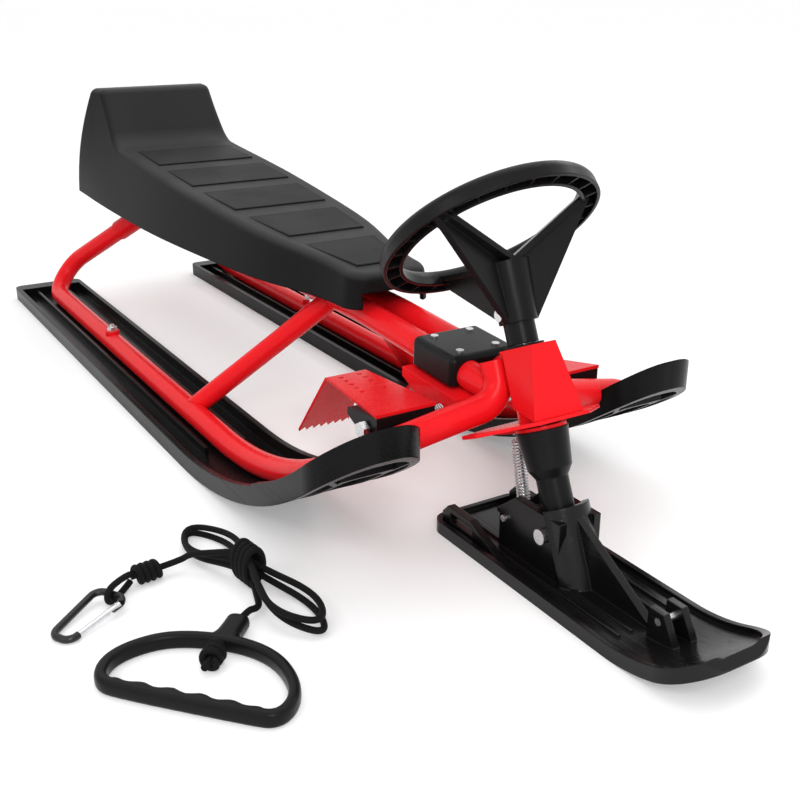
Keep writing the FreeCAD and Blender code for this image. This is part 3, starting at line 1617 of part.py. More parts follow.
export("tow_handle", tow_handle())
export("handle_knot", knot(handle_at(0, handle_high - handle_bar, knot_z),
                           handle_at(0, handle_high - handle_bar - knot_length, knot_z),
                           "handle knot"))
export("rope_lead", rope_lead())
export("rope_hank", tow_hank())
export("hank_wrap", hank_wrap())
export("rope_tail", rope_tail())
export("eye_knot", knot(knot_at(0), knot_at(knot_length), "eye knot"))
export("rope_eye", eye_loop())
export("snap_hook", snap_hook())
export("hook_gate", hook_gate())
export("gate_pin", gate_pin())
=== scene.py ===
"""A steering sled: a red welded frame on two rear skis, a steered front ski, and its tow rope beside it."""
import math
import bmesh
import bpy
from mathutils import Matrix, Vector


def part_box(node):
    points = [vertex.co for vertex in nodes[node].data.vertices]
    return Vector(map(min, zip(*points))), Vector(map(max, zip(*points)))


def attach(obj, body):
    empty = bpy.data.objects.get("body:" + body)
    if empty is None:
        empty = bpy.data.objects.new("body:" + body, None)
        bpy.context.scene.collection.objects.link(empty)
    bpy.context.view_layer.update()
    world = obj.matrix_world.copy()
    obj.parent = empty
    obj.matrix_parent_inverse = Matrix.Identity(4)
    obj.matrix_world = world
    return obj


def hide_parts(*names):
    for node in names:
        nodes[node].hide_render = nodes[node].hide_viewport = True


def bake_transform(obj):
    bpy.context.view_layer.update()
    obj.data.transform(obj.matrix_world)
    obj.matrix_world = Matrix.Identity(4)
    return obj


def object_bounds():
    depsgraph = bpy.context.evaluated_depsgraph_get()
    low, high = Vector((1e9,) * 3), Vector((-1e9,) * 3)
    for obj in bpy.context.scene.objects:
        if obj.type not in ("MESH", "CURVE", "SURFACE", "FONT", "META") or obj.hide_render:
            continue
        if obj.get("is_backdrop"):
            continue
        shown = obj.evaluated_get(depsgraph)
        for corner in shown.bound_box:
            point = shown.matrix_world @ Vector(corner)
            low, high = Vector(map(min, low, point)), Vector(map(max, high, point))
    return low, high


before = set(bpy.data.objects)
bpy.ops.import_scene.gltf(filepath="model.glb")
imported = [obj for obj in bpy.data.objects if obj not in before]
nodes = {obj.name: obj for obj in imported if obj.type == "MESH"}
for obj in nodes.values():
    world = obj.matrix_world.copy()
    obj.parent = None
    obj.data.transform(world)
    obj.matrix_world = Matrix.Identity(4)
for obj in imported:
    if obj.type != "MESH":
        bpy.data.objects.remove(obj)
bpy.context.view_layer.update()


# The welded frame: steel tubes of 25 mm bent cold and joined at the head, with folded sheet for
# the head bracket, the plate under it and the two brake pedals. All of it is powder coated red.
red_deep = (0.79, 0.009, 0.013)
red_bright = (0.86, 0.012, 0.018)
edge_rays = 6


class Field:
    """A value that changes over a surface. Sums on it add the nodes that work them out."""

    def __init__(self, tree, socket=None):
        self.tree = tree
        self.socket = socket

    def feed(self, node, sockets):
        """Sets or links the sockets of a node."""
        for name, value in sockets.items():
            if isinstance(value, Field):
                self.tree.links.new(value.socket, node.inputs[name])
            else:
                node.inputs[name].default_value = value

    def add(self, kind, settings=None, sockets=None, out=0):
        """Adds a node of any kind: its settings first, then its sockets."""
        node = self.tree.nodes.new(kind)
        for name, value in (settings or {}).items():
            setattr(node, name, value)
        self.feed(node, sockets or {})
        return Field(self.tree, node.outputs[out])

    def sum(self, operation, left, right=0.0):
        """One Math node on one or two values."""
        return self.add("ShaderNodeMath", {"operation": operation}, {0: left, 1: right})

    def __add__(self, other):
        return self.sum("ADD", self, other)

    def __sub__(self, other):
        return self.sum("SUBTRACT", self, other)

    def __rsub__(self, other):
        return self.sum("SUBTRACT", other, self)

    def __mul__(self, other):
        return self.sum("MULTIPLY", self, other)

    def __truediv__(self, other):
        return self.sum("DIVIDE", self, other)

    def __pow__(self, other):
        return self.sum("POWER", self, other)

    __radd__ = __add__
    __rmul__ = __mul__

    def floor(self):
        return self.sum("FLOOR", self)

    def fract(self):
        return self.sum("FRACT", self)

    def wave(self):
        return self.sum("SINE", self)

    def part(self, axis):
        """One of a vector's three numbers."""
        return self.add("ShaderNodeSeparateXYZ", {}, {"Vector": self}, out="XYZ".index(axis))

    def band(self, low, high):
        """From 0 to 1 as the value goes from low to high, smoothly."""
        return self.add("ShaderNodeMapRange", {"interpolation_type": "SMOOTHSTEP"},
                        {"Value": self, "From Min": low, "From Max": high})

    def tint(self, first, second):
        """A colour that goes from the first to the second as the value goes from 0 to 1."""
        share, colour_a, colour_b, colour_out = 0, 6, 7, 2
        return self.add("ShaderNodeMix", {"data_type": "RGBA"},
                        {share: self, colour_a: (*first, 1), colour_b: (*second, 1)}, out=colour_out)

    def noise(self, place, scale, detail, roughness=0.5):
        """Soft random cloud, with its scale in waves to the metre."""
        return self.add("ShaderNodeTexNoise", {}, {"Vector": place, "Scale": scale, "Detail": detail,
                                                   "Roughness": roughness})

    def stretched(self, place, scale):
        """The same place, with its three directions scaled."""
        return self.add("ShaderNodeMapping", {}, {"Vector": place, "Scale": scale})

    def relief(self, height, depth, strength, edge=0.0):
        """A normal that shows a height field of the given depth in metres, on edges rounded to a radius."""
        sockets = {"Height": height, "Distance": depth, "Strength": strength}
        if edge:
            sockets["Normal"] = self.add("ShaderNodeBevel", {"samples": edge_rays}, {"Radius": edge})
        return self.add("ShaderNodeBump", {}, sockets)


def finish(name):
    """A new finish: its material, its shader, a field to build on and the place on the surface."""
    material = bpy.data.materials.new(name)
    material.use_nodes = True
    field = Field(material.node_tree)
    place = field.add("ShaderNodeTexCoord", out="Object")
    return material, material.node_tree.nodes["Principled BSDF"], field, place


def put_on(material, *names):
    """Gives CAD pieces their finish."""
    for name in names:
        piece = nodes[name]
        if not piece.material_slots:
            piece.data.materials.append(material)
        piece.material_slots[0].material = material


red_coat, shader, field, place = finish("red_powder_coat")
peel = field.noise(place, scale=1100.0, detail=2.0)
cloud = field.noise(place, scale=14.0, detail=3.0)
dust = field.noise(place, scale=3600.0, detail=2.0).band(0.66, 0.74)
field.feed(shader, {
    "Base Color": (cloud * 0.6 + peel * 0.4).tint(red_deep, red_bright),
    "Roughness": cloud * 0.08 + peel * 0.06 + dust * 0.06 + 0.20,
    "Normal": field.relief(peel + dust * 0.2, depth=0.00012, strength=0.25, edge=0.0012),
    "Specular IOR Level": 0.10, "Coat Weight": 0.03, "Coat Roughness": 0.08})
put_on(red_coat, "left_side_tube", "right_side_tube", "left_spine_tube", "right_spine_tube", "left_strut",
       "right_strut", "rear_hoop", "head_tube", "head_bracket", "head_plate", "brake_bracket",
       "left_brake_pedal", "right_brake_pedal", "ski_saddles", "spring_hanger")


# The rear skis: two long channels of black polyethylene with raised edges and curled, windowed tips.
# They come from the mould with a satin skin, and snow draws fine lines along them.
ski_deep = (0.003, 0.003, 0.0032)
ski_pale = (0.007, 0.007, 0.0073)


def ski_finish(name, shine, roughness):
    """Black polyethylene with the lines that snow draws along it."""
    material, shader, field, place = finish(name)
    drawn = field.noise(field.stretched(place, (6.0, 700.0, 700.0)), scale=1.0, detail=3.0, roughness=0.6)
    runs = field.stretched(place, (3.0, 240.0, 240.0))
    scores = field.noise(runs, scale=1.0, detail=1.0).band(0.60, 0.72)
    skin = field.noise(place, scale=900.0, detail=2.0)
    cloud = field.noise(place, scale=9.0, detail=3.0)
    height = drawn * 0.5 + skin * 0.4 - scores * 0.3
    field.feed(shader, {
        "Base Color": (drawn * 0.4 + cloud * 0.6).tint(ski_deep, ski_pale),
        "Roughness": cloud * 0.12 + drawn * 0.12 + scores * 0.08 + roughness,
        "Normal": field.relief(height, depth=0.00025, strength=0.4, edge=0.0015),
        "Specular IOR Level": shine})
    return material


put_on(ski_finish("ski_polyethylene", shine=0.09, roughness=0.16), "left_rear_ski", "right_rear_ski")


# The fixings: zinc plated bolts, nuts, axle and pins. The plating is bright, with a faint
# crystal pattern and rub marks from the spanner.
zinc_grey = (0.56, 0.57, 0.60)
zinc_bright = (0.78, 0.78, 0.77)
zinc, shader, field, place = finish("zinc_plate")
crystal = field.add("ShaderNodeTexVoronoi", {}, {"Vector": place, "Scale": 420.0})
rub = field.noise(place, scale=1300.0, detail=3.0, roughness=0.7)
field.feed(shader, {
    "Base Color": (crystal * 0.5 + rub * 0.5).tint(zinc_grey, zinc_bright),
    "Roughness": rub * 0.22 + crystal * 0.14 + 0.12, "Metallic": 1.0,
    "Normal": field.relief(rub + crystal * 0.3, depth=0.0002, strength=0.25)})
put_on(zinc, "ski_bolts", "ski_nuts", "seat_bolts", "brake_axle", "axle_nuts", "pivot_bolt",
       "pivot_nut", "spring_bar", "tow_pin", "wheel_bolt", "cover_screws", "gate_pin", "steering_shaft")


# The seat: one hollow moulding in black plastic, bolted to the spine from below. Its skin has the fine
# grain of an etched mould, coarser and duller on its five panels, with painted top light on faces that look
# up.
# The pale colour is mostly reached on faces that look up, where it is painted top light.
seat_deep = (0.006, 0.006, 0.0062)
seat_pale = (0.040, 0.040, 0.041)
# The panels run forward from the first one's rear edge. Each fills a share of their pitch, and their half
# width narrows from one place on, by the taper over the run.
panel_first = -0.3725
panel_pitch = 0.112
panel_share = 0.75
panel_half = 0.065
panel_narrows = -0.2605
panel_run = 0.420
panel_taper = 0.0386
last_row = 4.9
row_blur = 0.004
end_blur = 0.01
side_blur = 0.0005
outline_wide = 0.0016
seat_skin, shader, field, place = finish("seat_grain")
pebble = field.add("ShaderNodeTexVoronoi", {"feature": "SMOOTH_F1"}, {"Vector": place, "Scale": 620.0})
pore = field.noise(place, scale=2100.0, detail=2.0, roughness=0.6)
cloud = field.noise(place, scale=11.0, detail=3.0)
facing = field.add("ShaderNodeTexCoord", out="Normal")
# Faces that look up get a paler base colour below, as painted top light. Rubbed patches on them are
# smoother, and they are painted paler still.
upward = facing.part("Z").band(0.15, 1.0)
rubbed_and_top_lit = upward * cloud.band(0.35, 0.7)
spot_x = place.part("X")
spot_y = field.sum("ABSOLUTE", place.part("Y"))
half = panel_half - field.sum("MAXIMUM", (spot_x - panel_narrows) / panel_run) ** 2 * panel_taper
row = (spot_x - panel_first) / panel_pitch


def panel_mask(inset):
    """The seat's five panels as 1, drawn in by an inset."""
    start = inset / panel_pitch
    stop = panel_share - start
    bars = row.fract().band(start, start + row_blur) * (1 - row.fract().band(stop - row_blur, stop))
    ends = row.band(-end_blur, 0.0) * (1 - row.band(last_row, last_row + end_blur))
    sides = 1 - spot_y.band(half - inset - side_blur, half - inset)
    return bars * ends * sides * upward


panel = panel_mask(0.0)
outline = panel - panel_mask(outline_wide)
# Painted top light: faces that look up get a much paler base colour. The grain adds random tone, and the
# panels and their outlines are darker.
wear_and_painted_light = upward * 0.78 + rubbed_and_top_lit * 0.15 + pebble * 0.15 - panel * 0.38 - outline * 0.5
grain = pebble * (panel * 0.8 + 0.8) + pore * 0.35 - outline * 3
field.feed(shader, {
    "Base Color": wear_and_painted_light.tint(seat_deep, seat_pale),
    "Roughness": pore * 0.12 + pebble * 0.10 + panel * 0.08 + 0.40 - rubbed_and_top_lit * 0.06,
    "Normal": field.relief(grain, depth=0.00022, strength=0.5, edge=0.003),
    "Specular IOR Level": 0.06})
put_on(seat_skin, "seat")


# The black mouldings: wheel, column bells, spine cover, pedal hubs and the bushes. They are glass filled
# nylon with a spark finished skin and faint flow marks.
nylon_deep = (0.004, 0.004, 0.0042)
nylon_pale = (0.009, 0.009, 0.0094)
nylon, shader, field, place = finish("black_nylon")
spark = field.noise(place, scale=1700.0, detail=3.0, roughness=0.65)
flow = field.noise(field.stretched(place, (40.0, 40.0, 12.0)), scale=1.0, detail=3.0)
field.feed(shader, {
    "Base Color": (flow * 0.7 + spark * 0.3).tint(nylon_deep, nylon_pale),
    "Roughness": spark * 0.14 + flow * 0.12 + 0.18,
    "Normal": field.relief(spark + flow * 0.2, depth=0.0002, strength=0.35, edge=0.0015),
    "Specular IOR Level": 0.12})
put_on(nylon, "steering_wheel", "upper_column", "lower_column", "spine_cover", "left_pedal_boss",
       "right_pedal_boss", "upper_bush", "lower_bush")


# The front ski: a shorter channel of the same polyethylene, with a mast for the pivot and ribs to its
# tip. It pitches on the pivot bolt under the steering column, and it has more gloss than the rear skis.
put_on(ski_finish("front_ski_polyethylene", shine=0.24, roughness=0.10), "front_ski")


# The springs: bright wire wound cold. One pulls the front ski level from a tab on the column, and two
# turn the brake pedals back up on their axle.
wire_grey = (0.60, 0.61, 0.63)
wire_pale = (0.82, 0.82, 0.82)
coil_points = 22
wire_sides = 10
eye_points = 24
eye_start = math.radians(-60)
eye_sweep = math.radians(300)
eye_offset = -0.86
spring_top = Vector((0.3846, 0.0, 0.1037))
spring_foot = Vector((0.4008, 0.0, 0.0389))
pull_sizes = {"Coil Radius": 0.0050, "Wire Radius": 0.00085, "Turns": 20.0, "Length": 0.0528,
              "Eye Radius": 0.0040}
return_sizes = {"Coil Radius": 0.0070, "Wire Radius": 0.0009, "Turns": 6.0, "Length": 0.0150,
                "Eye Radius": 0.0016}
wire_bright, shader, field, place = finish("spring_wire")
draw = field.noise(place, scale=3100.0, detail=2.0)
tarnish = field.noise(place, scale=160.0, detail=3.0)
field.feed(shader, {
    "Base Color": tarnish.tint(wire_grey, wire_pale),
    "Roughness": draw * 0.16 + tarnish * 0.12 + 0.10, "Metallic": 1.0,
    "Normal": field.relief(draw, depth=0.0001, strength=0.3)})


def link(item):
    """Puts a new object in the scene."""
    bpy.context.scene.collection.objects.link(item)
    return item


def evaluated_mesh(carrier):
    """The shape of an object with its modifiers or its curve worked out. The object itself goes."""
    mesh = bpy.data.meshes.new_from_object(carrier.evaluated_get(bpy.context.evaluated_depsgraph_get()))
    bpy.data.objects.remove(carrier)
    return mesh


def plain_mesh(carrier, name, turn):
    """The evaluated shape of an object as a plain piece, put in its place."""
    mesh = evaluated_mesh(carrier)
    mesh.name = name
    mesh.transform(turn)
    return link(bpy.data.objects.new(name, mesh))


def spring_tree(material):
    """A tree that winds wire into a coil along Z, with an eye bent up at each end."""
    tree = bpy.data.node_groups.new("wound_spring", "GeometryNodeTree")
    face = tree.interface
    for name in pull_sizes:
        face.new_socket(name, in_out="INPUT", socket_type="NodeSocketFloat")
    face.new_socket("Geometry", in_out="OUTPUT", socket_type="NodeSocketGeometry")
    given = tree.nodes.new("NodeGroupInput").outputs
    out = tree.nodes.new("NodeGroupOutput")

    def step(kind, links, **settings):
        """Adds a node with its settings, then its links or values, and gives its first output."""
        node = tree.nodes.new(kind)
        for name, value in settings.items():
            setattr(node, name, value)
        for name, value in links.items():
            if isinstance(value, bpy.types.NodeSocket):
                tree.links.new(value, node.inputs[name])
            else:
                node.inputs[name].default_value = value
        return node.outputs[0]

    quarter = math.radians(90)
    coil = step("GeometryNodeCurveSpiral", {
        "Resolution": coil_points, "Rotations": given["Turns"], "Start Radius": given["Coil Radius"],
        "End Radius": given["Coil Radius"], "Height": given["Length"]})
    eye = step("GeometryNodeCurveArc", {
        "Resolution": eye_points, "Radius": given["Eye Radius"], "Start Angle": eye_start,
        "Sweep Angle": eye_sweep})
    away = step("ShaderNodeMath", {0: given["Eye Radius"], 1: eye_offset}, operation="MULTIPLY")
    beyond = step("ShaderNodeMath", {0: given["Length"], 1: away}, operation="SUBTRACT")
    low = step("ShaderNodeCombineXYZ", {"Z": away})
    high = step("ShaderNodeCombineXYZ", {"Z": beyond})
    low_eye = step("GeometryNodeTransform", {
        "Geometry": eye, "Rotation": (quarter, quarter, 0), "Translation": low})
    high_eye = step("GeometryNodeTransform", {
        "Geometry": eye, "Rotation": (quarter, -quarter, quarter), "Translation": high})
    lines = tree.nodes.new("GeometryNodeJoinGeometry")
    for part in (coil, low_eye, high_eye):
        tree.links.new(part, lines.inputs[0])
    section = step("GeometryNodeCurvePrimitiveCircle", {
        "Resolution": wire_sides, "Radius": given["Wire Radius"]})
    wire = step("GeometryNodeCurveToMesh", {
        "Curve": lines.outputs[0], "Profile Curve": section, "Fill Caps": True})
    smooth = step("GeometryNodeSetShadeSmooth", {"Geometry": wire})
    real = step("GeometryNodeRealizeInstances", {"Geometry": smooth})
    last = step("GeometryNodeSetMaterial", {"Geometry": real, "Material": material})
    tree.links.new(last, out.inputs[0])
    return tree


winding = spring_tree(wire_bright)


def wound_spring(name, start, end, sizes):
    """A spring from one place to another, made by the winding tree."""
    carrier = link(bpy.data.objects.new(name + "_winding", bpy.data.meshes.new(name + "_winding")))
    winder = carrier.modifiers.new("winding", "NODES")
    winder.node_group = winding
    for item in winding.interface.items_tree:
        if item.in_out == "INPUT":
            winder[item.identifier] = sizes[item.name]
    way = (end - start).normalized()
    clear = ((end - start).length - sizes["Length"]) / 2
    turn = Matrix.Translation(start + way * clear) @ way.to_track_quat("Z", "Y").to_matrix().to_4x4()
    return plain_mesh(carrier, name, turn)


ski_pull = wound_spring("ski_pull_spring", spring_top, spring_foot, pull_sizes)
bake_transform(ski_pull)
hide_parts("ski_spring")
for side in ("left", "right"):
    low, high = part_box(side + "_return_spring")
    middle = (low + high) / 2
    coil = wound_spring(side + "_pedal_spring", Vector((middle.x, low.y, middle.z)),
                        Vector((middle.x, high.y, middle.z)), return_sizes)
    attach(coil, "frame")
    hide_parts(side + "_return_spring")


# The tow rope: 5.4 mm black cord with a braided cover, folded into a hank. It leads from a knot in the
# handle to an eye round the snap hook, and it lies on the floor beside the sled.
cord_deep = (0.001, 0.001, 0.001)
cord_pale = (0.007, 0.007, 0.0072)
cord_radius = 0.0027
cord_sides = 16
strands = 8
strand_pitch = 0.0026
yarns_in_strand = 5
route_steps = 16
rope_lead = [(0.4316, -0.3051, 0.0089), (0.3786, -0.2521, 0.0089), (0.3752, -0.2371, 0.0048)]
rope_hank = [(0.3619, -0.2336, 0.0074), (0.3409, -0.2281, 0.0114), (0.3191, -0.2311, 0.0114),
             (0.2657, -0.2552, 0.0027), (0.2186, -0.2416, 0.0027), (0.2602, -0.2155, 0.0027),
             (0.3181, -0.2239, 0.0114), (0.3399, -0.2209, 0.0114), (0.3933, -0.1968, 0.0027),
             (0.4404, -0.2104, 0.0063), (0.3988, -0.2365, 0.0099), (0.3409, -0.2281, 0.0186),
             (0.3191, -0.2311, 0.0186), (0.2694, -0.2597, 0.0099), (0.2235, -0.2409, 0.0099),
             (0.2624, -0.2102, 0.0099), (0.3181, -0.2239, 0.0186), (0.3399, -0.2209, 0.0186),
             (0.3896, -0.1923, 0.0099), (0.4355, -0.2111, 0.0135), (0.3966, -0.2418, 0.0171),
             (0.3409, -0.2281, 0.0258), (0.3191, -0.2311, 0.0258), (0.3026, -0.2500, 0.0218)]
rope_tail = [(0.2922, -0.2619, 0.0193), (0.2811, -0.2671, 0.0089), (0.2849, -0.3099, 0.0089)]
braid, shader, field, place = finish("braided_cord")
around = field.add("ShaderNodeUVMap", {"uv_map": "braid"})
across = around.part("X")
along = around.part("Y")
right_lay = across * strands + along / strand_pitch
left_lay = across * strands - along / strand_pitch
over = ((right_lay.floor() + left_lay.floor()) * 0.5).fract() * 2


def bulge(lay):
    """How far a strand stands out, from 0 at its edges to 1 in its middle."""
    return 1 - (lay.fract() * 2 - 1) ** 2


def yarn_ridge(lay):
    """The ridges of the yarns that lie side by side in a strand."""
    return (lay * (2 * math.pi * yarns_in_strand)).wave()


# The strand height also sets the base colour, which is darker where the strands dip into the grooves
# between them: painted shade.
strand_height_and_groove_shade = bulge(right_lay) * (1 - over) + bulge(left_lay) * over
yarn = yarn_ridge(right_lay) * (1 - over) + yarn_ridge(left_lay) * over
fluff = field.noise(place, scale=2400.0, detail=2.0, roughness=0.7)
field.feed(shader, {
    "Base Color": (strand_height_and_groove_shade * 0.75 + fluff * 0.25).tint(cord_deep, cord_pale),
    "Roughness": fluff * 0.2 + 0.62,
    "Normal": field.relief(strand_height_and_groove_shade + yarn * 0.10 + fluff * 0.15, depth=0.0006, strength=0.8),
    "Specular IOR Level": 0.15})


def smooth_line(points):
    """Points along the smooth line that has the given ones as its control points."""
    curve = bpy.data.curves.new("route", "CURVE")
    curve.dimensions = "3D"
    spline = curve.splines.new("NURBS")
    spline.points.add(len(points) - 1)
    for knot, point in zip(spline.points, points):
        knot.co = (*point, 1)
    # Set before the points are there, these two would leave the line straight from point to point.
    spline.order_u = 3
    spline.use_endpoint_u = True
    spline.resolution_u = route_steps
    route = evaluated_mesh(link(bpy.data.objects.new("route", curve)))
    return [vertex.co.copy() for vertex in route.vertices]


def braided(name, line):
    """A round cord that follows a line, with a map of its length and its turn for the braid."""
    shape = bmesh.new()
    chart = shape.loops.layers.uv.new("braid")
    side = (line[1] - line[0]).orthogonal().normalized()
    rings = []
    gone = 0.0
    for index, point in enumerate(line):
        before = line[max(index - 1, 0)]
        way = (line[min(index + 1, len(line) - 1)] - before).normalized()
        side = (side - way * side.dot(way)).normalized()
        other = way.cross(side)
        gone += (point - before).length
        ring = []
        for step in range(cord_sides):
            turn = 2 * math.pi * step / cord_sides
            out = side * math.cos(turn) + other * math.sin(turn)
            ring.append(shape.verts.new(point + out * cord_radius))
        rings.append((ring, gone))
    for (first, start), (second, end) in zip(rings, rings[1:]):
        for step in range(cord_sides):
            after = (step + 1) % cord_sides
            face = shape.faces.new((first[step], first[after], second[after], second[step]))
            face.smooth = True
            spots = ((step, start), (step + 1, start), (step + 1, end), (step, end))
            for loop, (share, run) in zip(face.loops, spots):
                loop[chart].uv = (share / cord_sides, run)
    shape.faces.new(list(reversed(rings[0][0])))
    shape.faces.new(rings[-1][0])
    mesh = bpy.data.meshes.new(name)
    shape.to_mesh(mesh)
    shape.free()
    mesh.materials.append(braid)
    return link(bpy.data.objects.new(name, mesh))


rope_line = smooth_line(rope_lead + rope_hank + rope_tail)
rope = braided("tow_rope", rope_line)
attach(rope, "frame")
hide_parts("rope_lead", "rope_hank", "rope_tail")


# The knots, the turns round the hank's waist and the eye: the same cord, wound tight by hand. Each
# barrel knot is three or four turns that close round the cord as they are drawn up.
knot_radius = 0.0062
knot_points = 28
knot_margin = 0.12
tuck_run = 0.07
tuck_radius = 0.55
handle_knot = (Vector((0.4125, -0.2860, 0.0089)), Vector((0.4277, -0.3012, 0.0089)))
eye_knot = (Vector((0.2825, -0.2830, 0.0089)), Vector((0.2849, -0.3099, 0.0089)))
waist = Vector((0.3295, -0.2260, 0.0186))
waist_half = 0.0093
waist_tall = 0.0159
waist_long = 0.0235
waist_points = 40
hank_turn = math.radians(8)
eye_route = [(0.2861, -0.3114, 0.0121), (0.2938, -0.3206, 0.0151), (0.3065, -0.3358, 0.0151),
             (0.3065, -0.3358, 0.0027), (0.2938, -0.3206, 0.0027), (0.2861, -0.3114, 0.0057)]


def barrel(start, end, turns):
    """The line of a barrel knot, whose ends tuck in under its turns."""
    way = (end - start).normalized()
    side = way.orthogonal().normalized()
    other = way.cross(side)
    line = []
    count = turns * knot_points
    for index in range(count + 1):
        share = index / count
        tuck = min(1.0, min(share, 1 - share) / tuck_run)
        radius = knot_radius * (tuck_radius + (1 - tuck_radius) * tuck)
        turn = 2 * math.pi * turns * share
        middle = start + (end - start) * (knot_margin + (1 - 2 * knot_margin) * share)
        line.append(middle + side * (radius * math.cos(turn)) + other * (radius * math.sin(turn)))
    return line


def waist_turns(turns):
    """The line of the turns round the hank, an oval that stands on the floor."""
    along = Vector((math.cos(hank_turn), math.sin(hank_turn), 0))
    out = Vector((-math.sin(hank_turn), math.cos(hank_turn), 0))
    line = []
    count = turns * waist_points
    for index in range(count + 1):
        share = index / count
        turn = 2 * math.pi * turns * share - math.pi / 2
        line.append(waist + along * (waist_long * (share - 0.5)) + out * (waist_half * math.cos(turn))
                    + Vector((0, 0, waist_tall * math.sin(turn))))
    return line


knot_in_handle = braided("knot_in_handle", barrel(*handle_knot, turns=3))
knot_at_eye = braided("knot_at_eye", barrel(*eye_knot, turns=4))
hank_tie = braided("hank_tie", waist_turns(turns=4))
hook_eye = braided("eye_round_hook", smooth_line(eye_route))
for piece, node in ((knot_in_handle, "handle_knot"), (knot_at_eye, "eye_knot"), (hank_tie, "hank_wrap"),
                    (hook_eye, "rope_eye")):
    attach(piece, "frame")
    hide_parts(node)


# The tow handle: a loop of the same black nylon with finger waves in its grip and a stem that the rope
# leaves by. It is one moulding, so the stem flows into the loop and every edge is round.
handle_middle = Vector((0.4415, -0.3150, 0.0))
handle_turn = math.radians(45)
handle_route = [(0.0, -0.0215), (0.046, -0.0240), (0.070, -0.0240), (0.0735, 0.004), (0.051, 0.035),
                (0.020, 0.0495), (-0.020, 0.0500), (-0.050, 0.0405), (-0.0725, 0.013), (-0.068, -0.0150),
                (-0.046, -0.0190), (0.0, -0.0215)]
stem_sections = [(0.047, 0.0190), (0.053, 0.0125), (0.059, 0.0098), (0.068, 0.0092), (0.078, 0.0092),
                 (0.0800, 0.0082)]
bar_half = 0.0046
bar_tall = 0.0064
bar_sides = 20
bar_square = 2 / 3
finger_pitch = 0.0225
finger_deep = 0.0022
grip_reach = 0.056
grip_fade = 0.3
grip_inner = -0.014


def rounded(turn, wide, tall):
    """A point on a section that is a rectangle with well rounded corners."""
    across, up = math.cos(turn), math.sin(turn)
    return (math.copysign(abs(across) ** bar_square, across) * wide,
            math.copysign(abs(up) ** bar_square, up) * tall)


def skinned(shape, rings, closed):
    """Faces between rings of points, with the ends joined to each other or capped."""
    rows = [[shape.verts.new(point) for point in ring] for ring in rings]
    pairs = list(zip(rows, rows[1:])) + ([(rows[-1], rows[0])] if closed else [])
    for first, second in pairs:
        for step in range(len(first)):
            after = (step + 1) % len(first)
            shape.faces.new((first[step], first[after], second[after], second[step]))
    if not closed:
        shape.faces.new(list(reversed(rows[0])))
        shape.faces.new(rows[-1])


handle_line = smooth_line([(along, out, bar_tall) for along, out in handle_route])[:-1]
bar_turns = [2 * math.pi * step / bar_sides for step in range(bar_sides)]
loop_rings = []
for index, point in enumerate(handle_line):
    way = (handle_line[(index + 1) % len(handle_line)] - handle_line[index - 1]).normalized()
    inward = Vector((-way.y, way.x, 0))
    grip = max(0.0, 1 - abs(point.x) / grip_reach) ** grip_fade if point.y < grip_inner else 0.0
    wave = finger_deep * grip * (1 - math.cos(2 * math.pi * point.x / finger_pitch))
    ring = []
    for turn in bar_turns:
        wide, tall = rounded(turn, bar_half, bar_tall)
        if wide > 0:
            wide *= 1 + wave / bar_half
        ring.append(point + inward * wide + Vector((0, 0, tall)))
    loop_rings.append(ring)
stem_rings = []
for out, stem_half in stem_sections:
    ring = []
    for turn in bar_turns:
        wide, tall = rounded(turn, stem_half, bar_tall)
        ring.append(Vector((wide, out, bar_tall + tall)))
    stem_rings.append(ring)
shape = bmesh.new()
skinned(shape, loop_rings, closed=True)
skinned(shape, stem_rings, closed=False)
bmesh.ops.recalc_face_normals(shape, faces=shape.faces)
mesh = bpy.data.meshes.new("tow_handle_form")
shape.to_mesh(mesh)
shape.free()
form = link(bpy.data.objects.new("tow_handle_form", mesh))
merge = form.modifiers.new("one_moulding", "REMESH")
merge.mode = "VOXEL"
merge.voxel_size = 0.0009
merge.use_smooth_shade = True
soften = form.modifiers.new("round_edges", "SMOOTH")
soften.factor = 0.5
soften.iterations = 6
handle_place = Matrix.Translation(handle_middle) @ Matrix.Rotation(handle_turn, 4, "Z")
grip_loop = plain_mesh(form, "tow_grip", handle_place)
grip_loop.data.materials.append(nylon)
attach(grip_loop, "frame")
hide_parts("tow_handle")


# The snap hook: an aluminium bar bent to a pear and anodised black, with a bare sprung gate pinned
# into its mouth. The rope's eye closes round its broad end.
anodise_deep = (0.012, 0.012, 0.014)
anodise_worn = (0.045, 0.045, 0.048)
gate_grey = (0.60, 0.61, 0.63)
gate_pale = (0.80, 0.80, 0.81)
anodised, shader, field, place = finish("black_anodise")
grain = field.noise(place, scale=1500.0, detail=3.0, roughness=0.6)
scuff = field.noise(place, scale=260.0, detail=3.0, roughness=0.7).band(0.60, 0.78)
field.feed(shader, {
    "Base Color": scuff.tint(anodise_deep, anodise_worn),
    "Roughness": grain * 0.14 + scuff * 0.10 + 0.22, "Metallic": scuff * 0.4 + 0.35,
    "Normal": field.relief(grain, depth=0.00015, strength=0.3)})
put_on(anodised, "snap_hook")
bare_gate, shader, field, place = finish("bare_aluminium")
turned = field.noise(field.stretched(place, (1800.0, 1800.0, 300.0)), scale=1.0, detail=2.0)
wear_and_painted_light = field.noise(place, scale=300.0, detail=3.0)
field.feed(shader, {
    "Base Color": wear_and_painted_light.tint(gate_grey, gate_pale),
    "Roughness": turned * 0.16 + wear_and_painted_light * 0.12 + 0.18, "Metallic": 1.0,
    "Normal": field.relief(turned, depth=0.0001, strength=0.3)})
put_on(bare_gate, "hook_gate")


# The studio: a wide pale floor in an even white surround, with a broad overhead bank and three strip
# boxes. Floor and surround show white to the camera and in reflections, and the floor keeps the shadow.
floor_half = 30.0
floor_grey = 0.80
floor_glow = 0.25
surround_light = 0.75


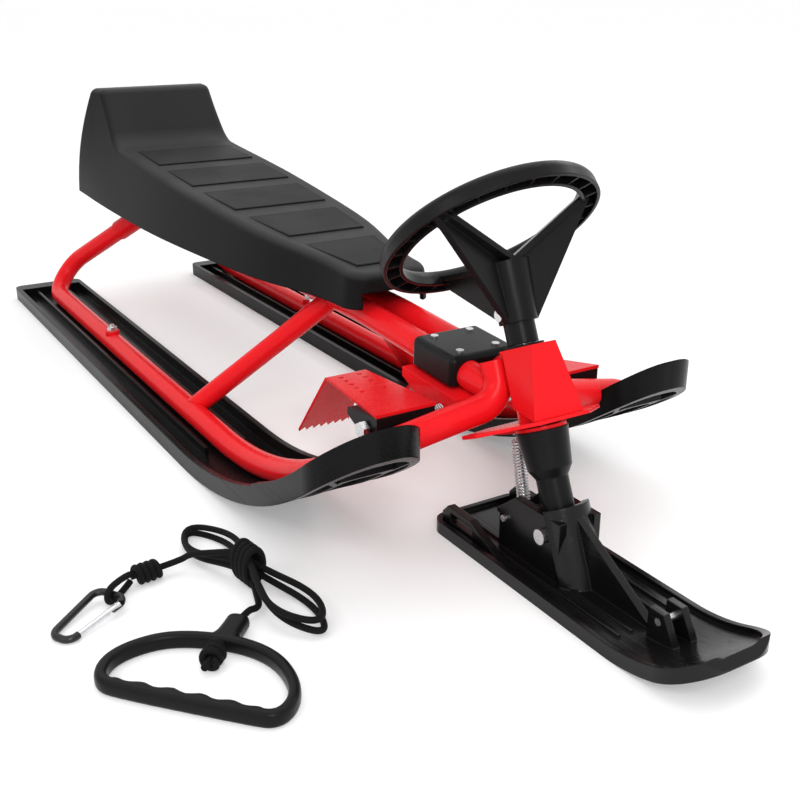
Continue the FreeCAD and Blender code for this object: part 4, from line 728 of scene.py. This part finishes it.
def seen(field):
    """1 for what the camera sees, straight, in a reflection or through a clear piece, and 0 for light."""
    path = field.tree.nodes.new("ShaderNodeLightPath").outputs
    return (Field(field.tree, path["Is Camera Ray"]) + Field(field.tree, path["Is Glossy Ray"])
            + Field(field.tree, path["Is Transmission Ray"]))


def lamp(name, kind, place, aim, power, **settings):
    """A lamp at a place, turned to what it is aimed at."""
    light = bpy.data.lights.new(name, kind)
    light.energy = power
    for key, value in settings.items():
        setattr(light, key, value)
    box = link(bpy.data.objects.new(name, light))
    box.location = place
    box.rotation_euler = (Vector(aim) - Vector(place)).to_track_quat("-Z", "Y").to_euler()


paper, shader, field, place = finish("pale_floor")
paper.node_tree.nodes.remove(shader)
matt = field.add("ShaderNodeBsdfDiffuse", {}, {"Color": (floor_grey, floor_grey, floor_grey, 1)})
glow = field.add("ShaderNodeEmission", {}, {"Color": (1, 1, 1, 1), "Strength": seen(field) * floor_glow})
both = field.add("ShaderNodeAddShader", {}, {0: matt, 1: glow})
field.feed(paper.node_tree.nodes["Material Output"], {"Surface": both})
floor_mesh = bpy.data.meshes.new("floor")
corners = [(-floor_half, -floor_half, 0), (floor_half, -floor_half, 0), (floor_half, floor_half, 0),
           (-floor_half, floor_half, 0)]
floor_mesh.from_pydata(corners, [], [(0, 1, 2, 3)])
floor_mesh.materials.append(paper)
floor = link(bpy.data.objects.new("floor", floor_mesh))
floor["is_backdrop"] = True

world = bpy.data.worlds.new("surround")
world.use_nodes = True
field = Field(world.node_tree)
field.feed(world.node_tree.nodes["Background"], {
    "Color": (1, 1, 1, 1), "Strength": seen(field) * (1 - surround_light) + surround_light})
bpy.context.scene.world = world

lamp("overhead_bank", "SUN", place=(-0.9, 0.55, 3.0), aim=(0.0, 0.0, 0.0), power=0.6,
     angle=math.radians(55))
lamp("front_strip", "AREA", place=(2.2, -0.9, 1.5), aim=(0.2, 0.0, 0.1), power=24.0,
     shape="RECTANGLE", size=0.5, size_y=1.4)
lamp("side_strip", "AREA", place=(0.6, -2.2, 1.8), aim=(0.2, 0.0, 0.1), power=8.0,
     shape="RECTANGLE", size=1.6, size_y=0.3)
lamp("rear_strip", "AREA", place=(-0.4, 2.4, 1.7), aim=(0.1, 0.0, 0.15), power=11.0,
     shape="RECTANGLE", size=2.0, size_y=0.3)


# The camera: it looks down on the sled from the right of its front ski, at the angle and from the
# distance that the photograph gives.
lens = bpy.data.cameras.new("camera")
lens.lens = 47.26
lens.sensor_width = 36.0
lens.clip_start = 0.01
camera = link(bpy.data.objects.new("camera", lens))
camera.location = (1.0299, -0.5092, 0.4544)
camera.rotation_euler = (math.radians(68.5), 0.0, math.radians(58.6))
bpy.context.scene.camera = camera
bpy.context.scene.view_settings.view_transform = "Standard"

low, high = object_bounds()
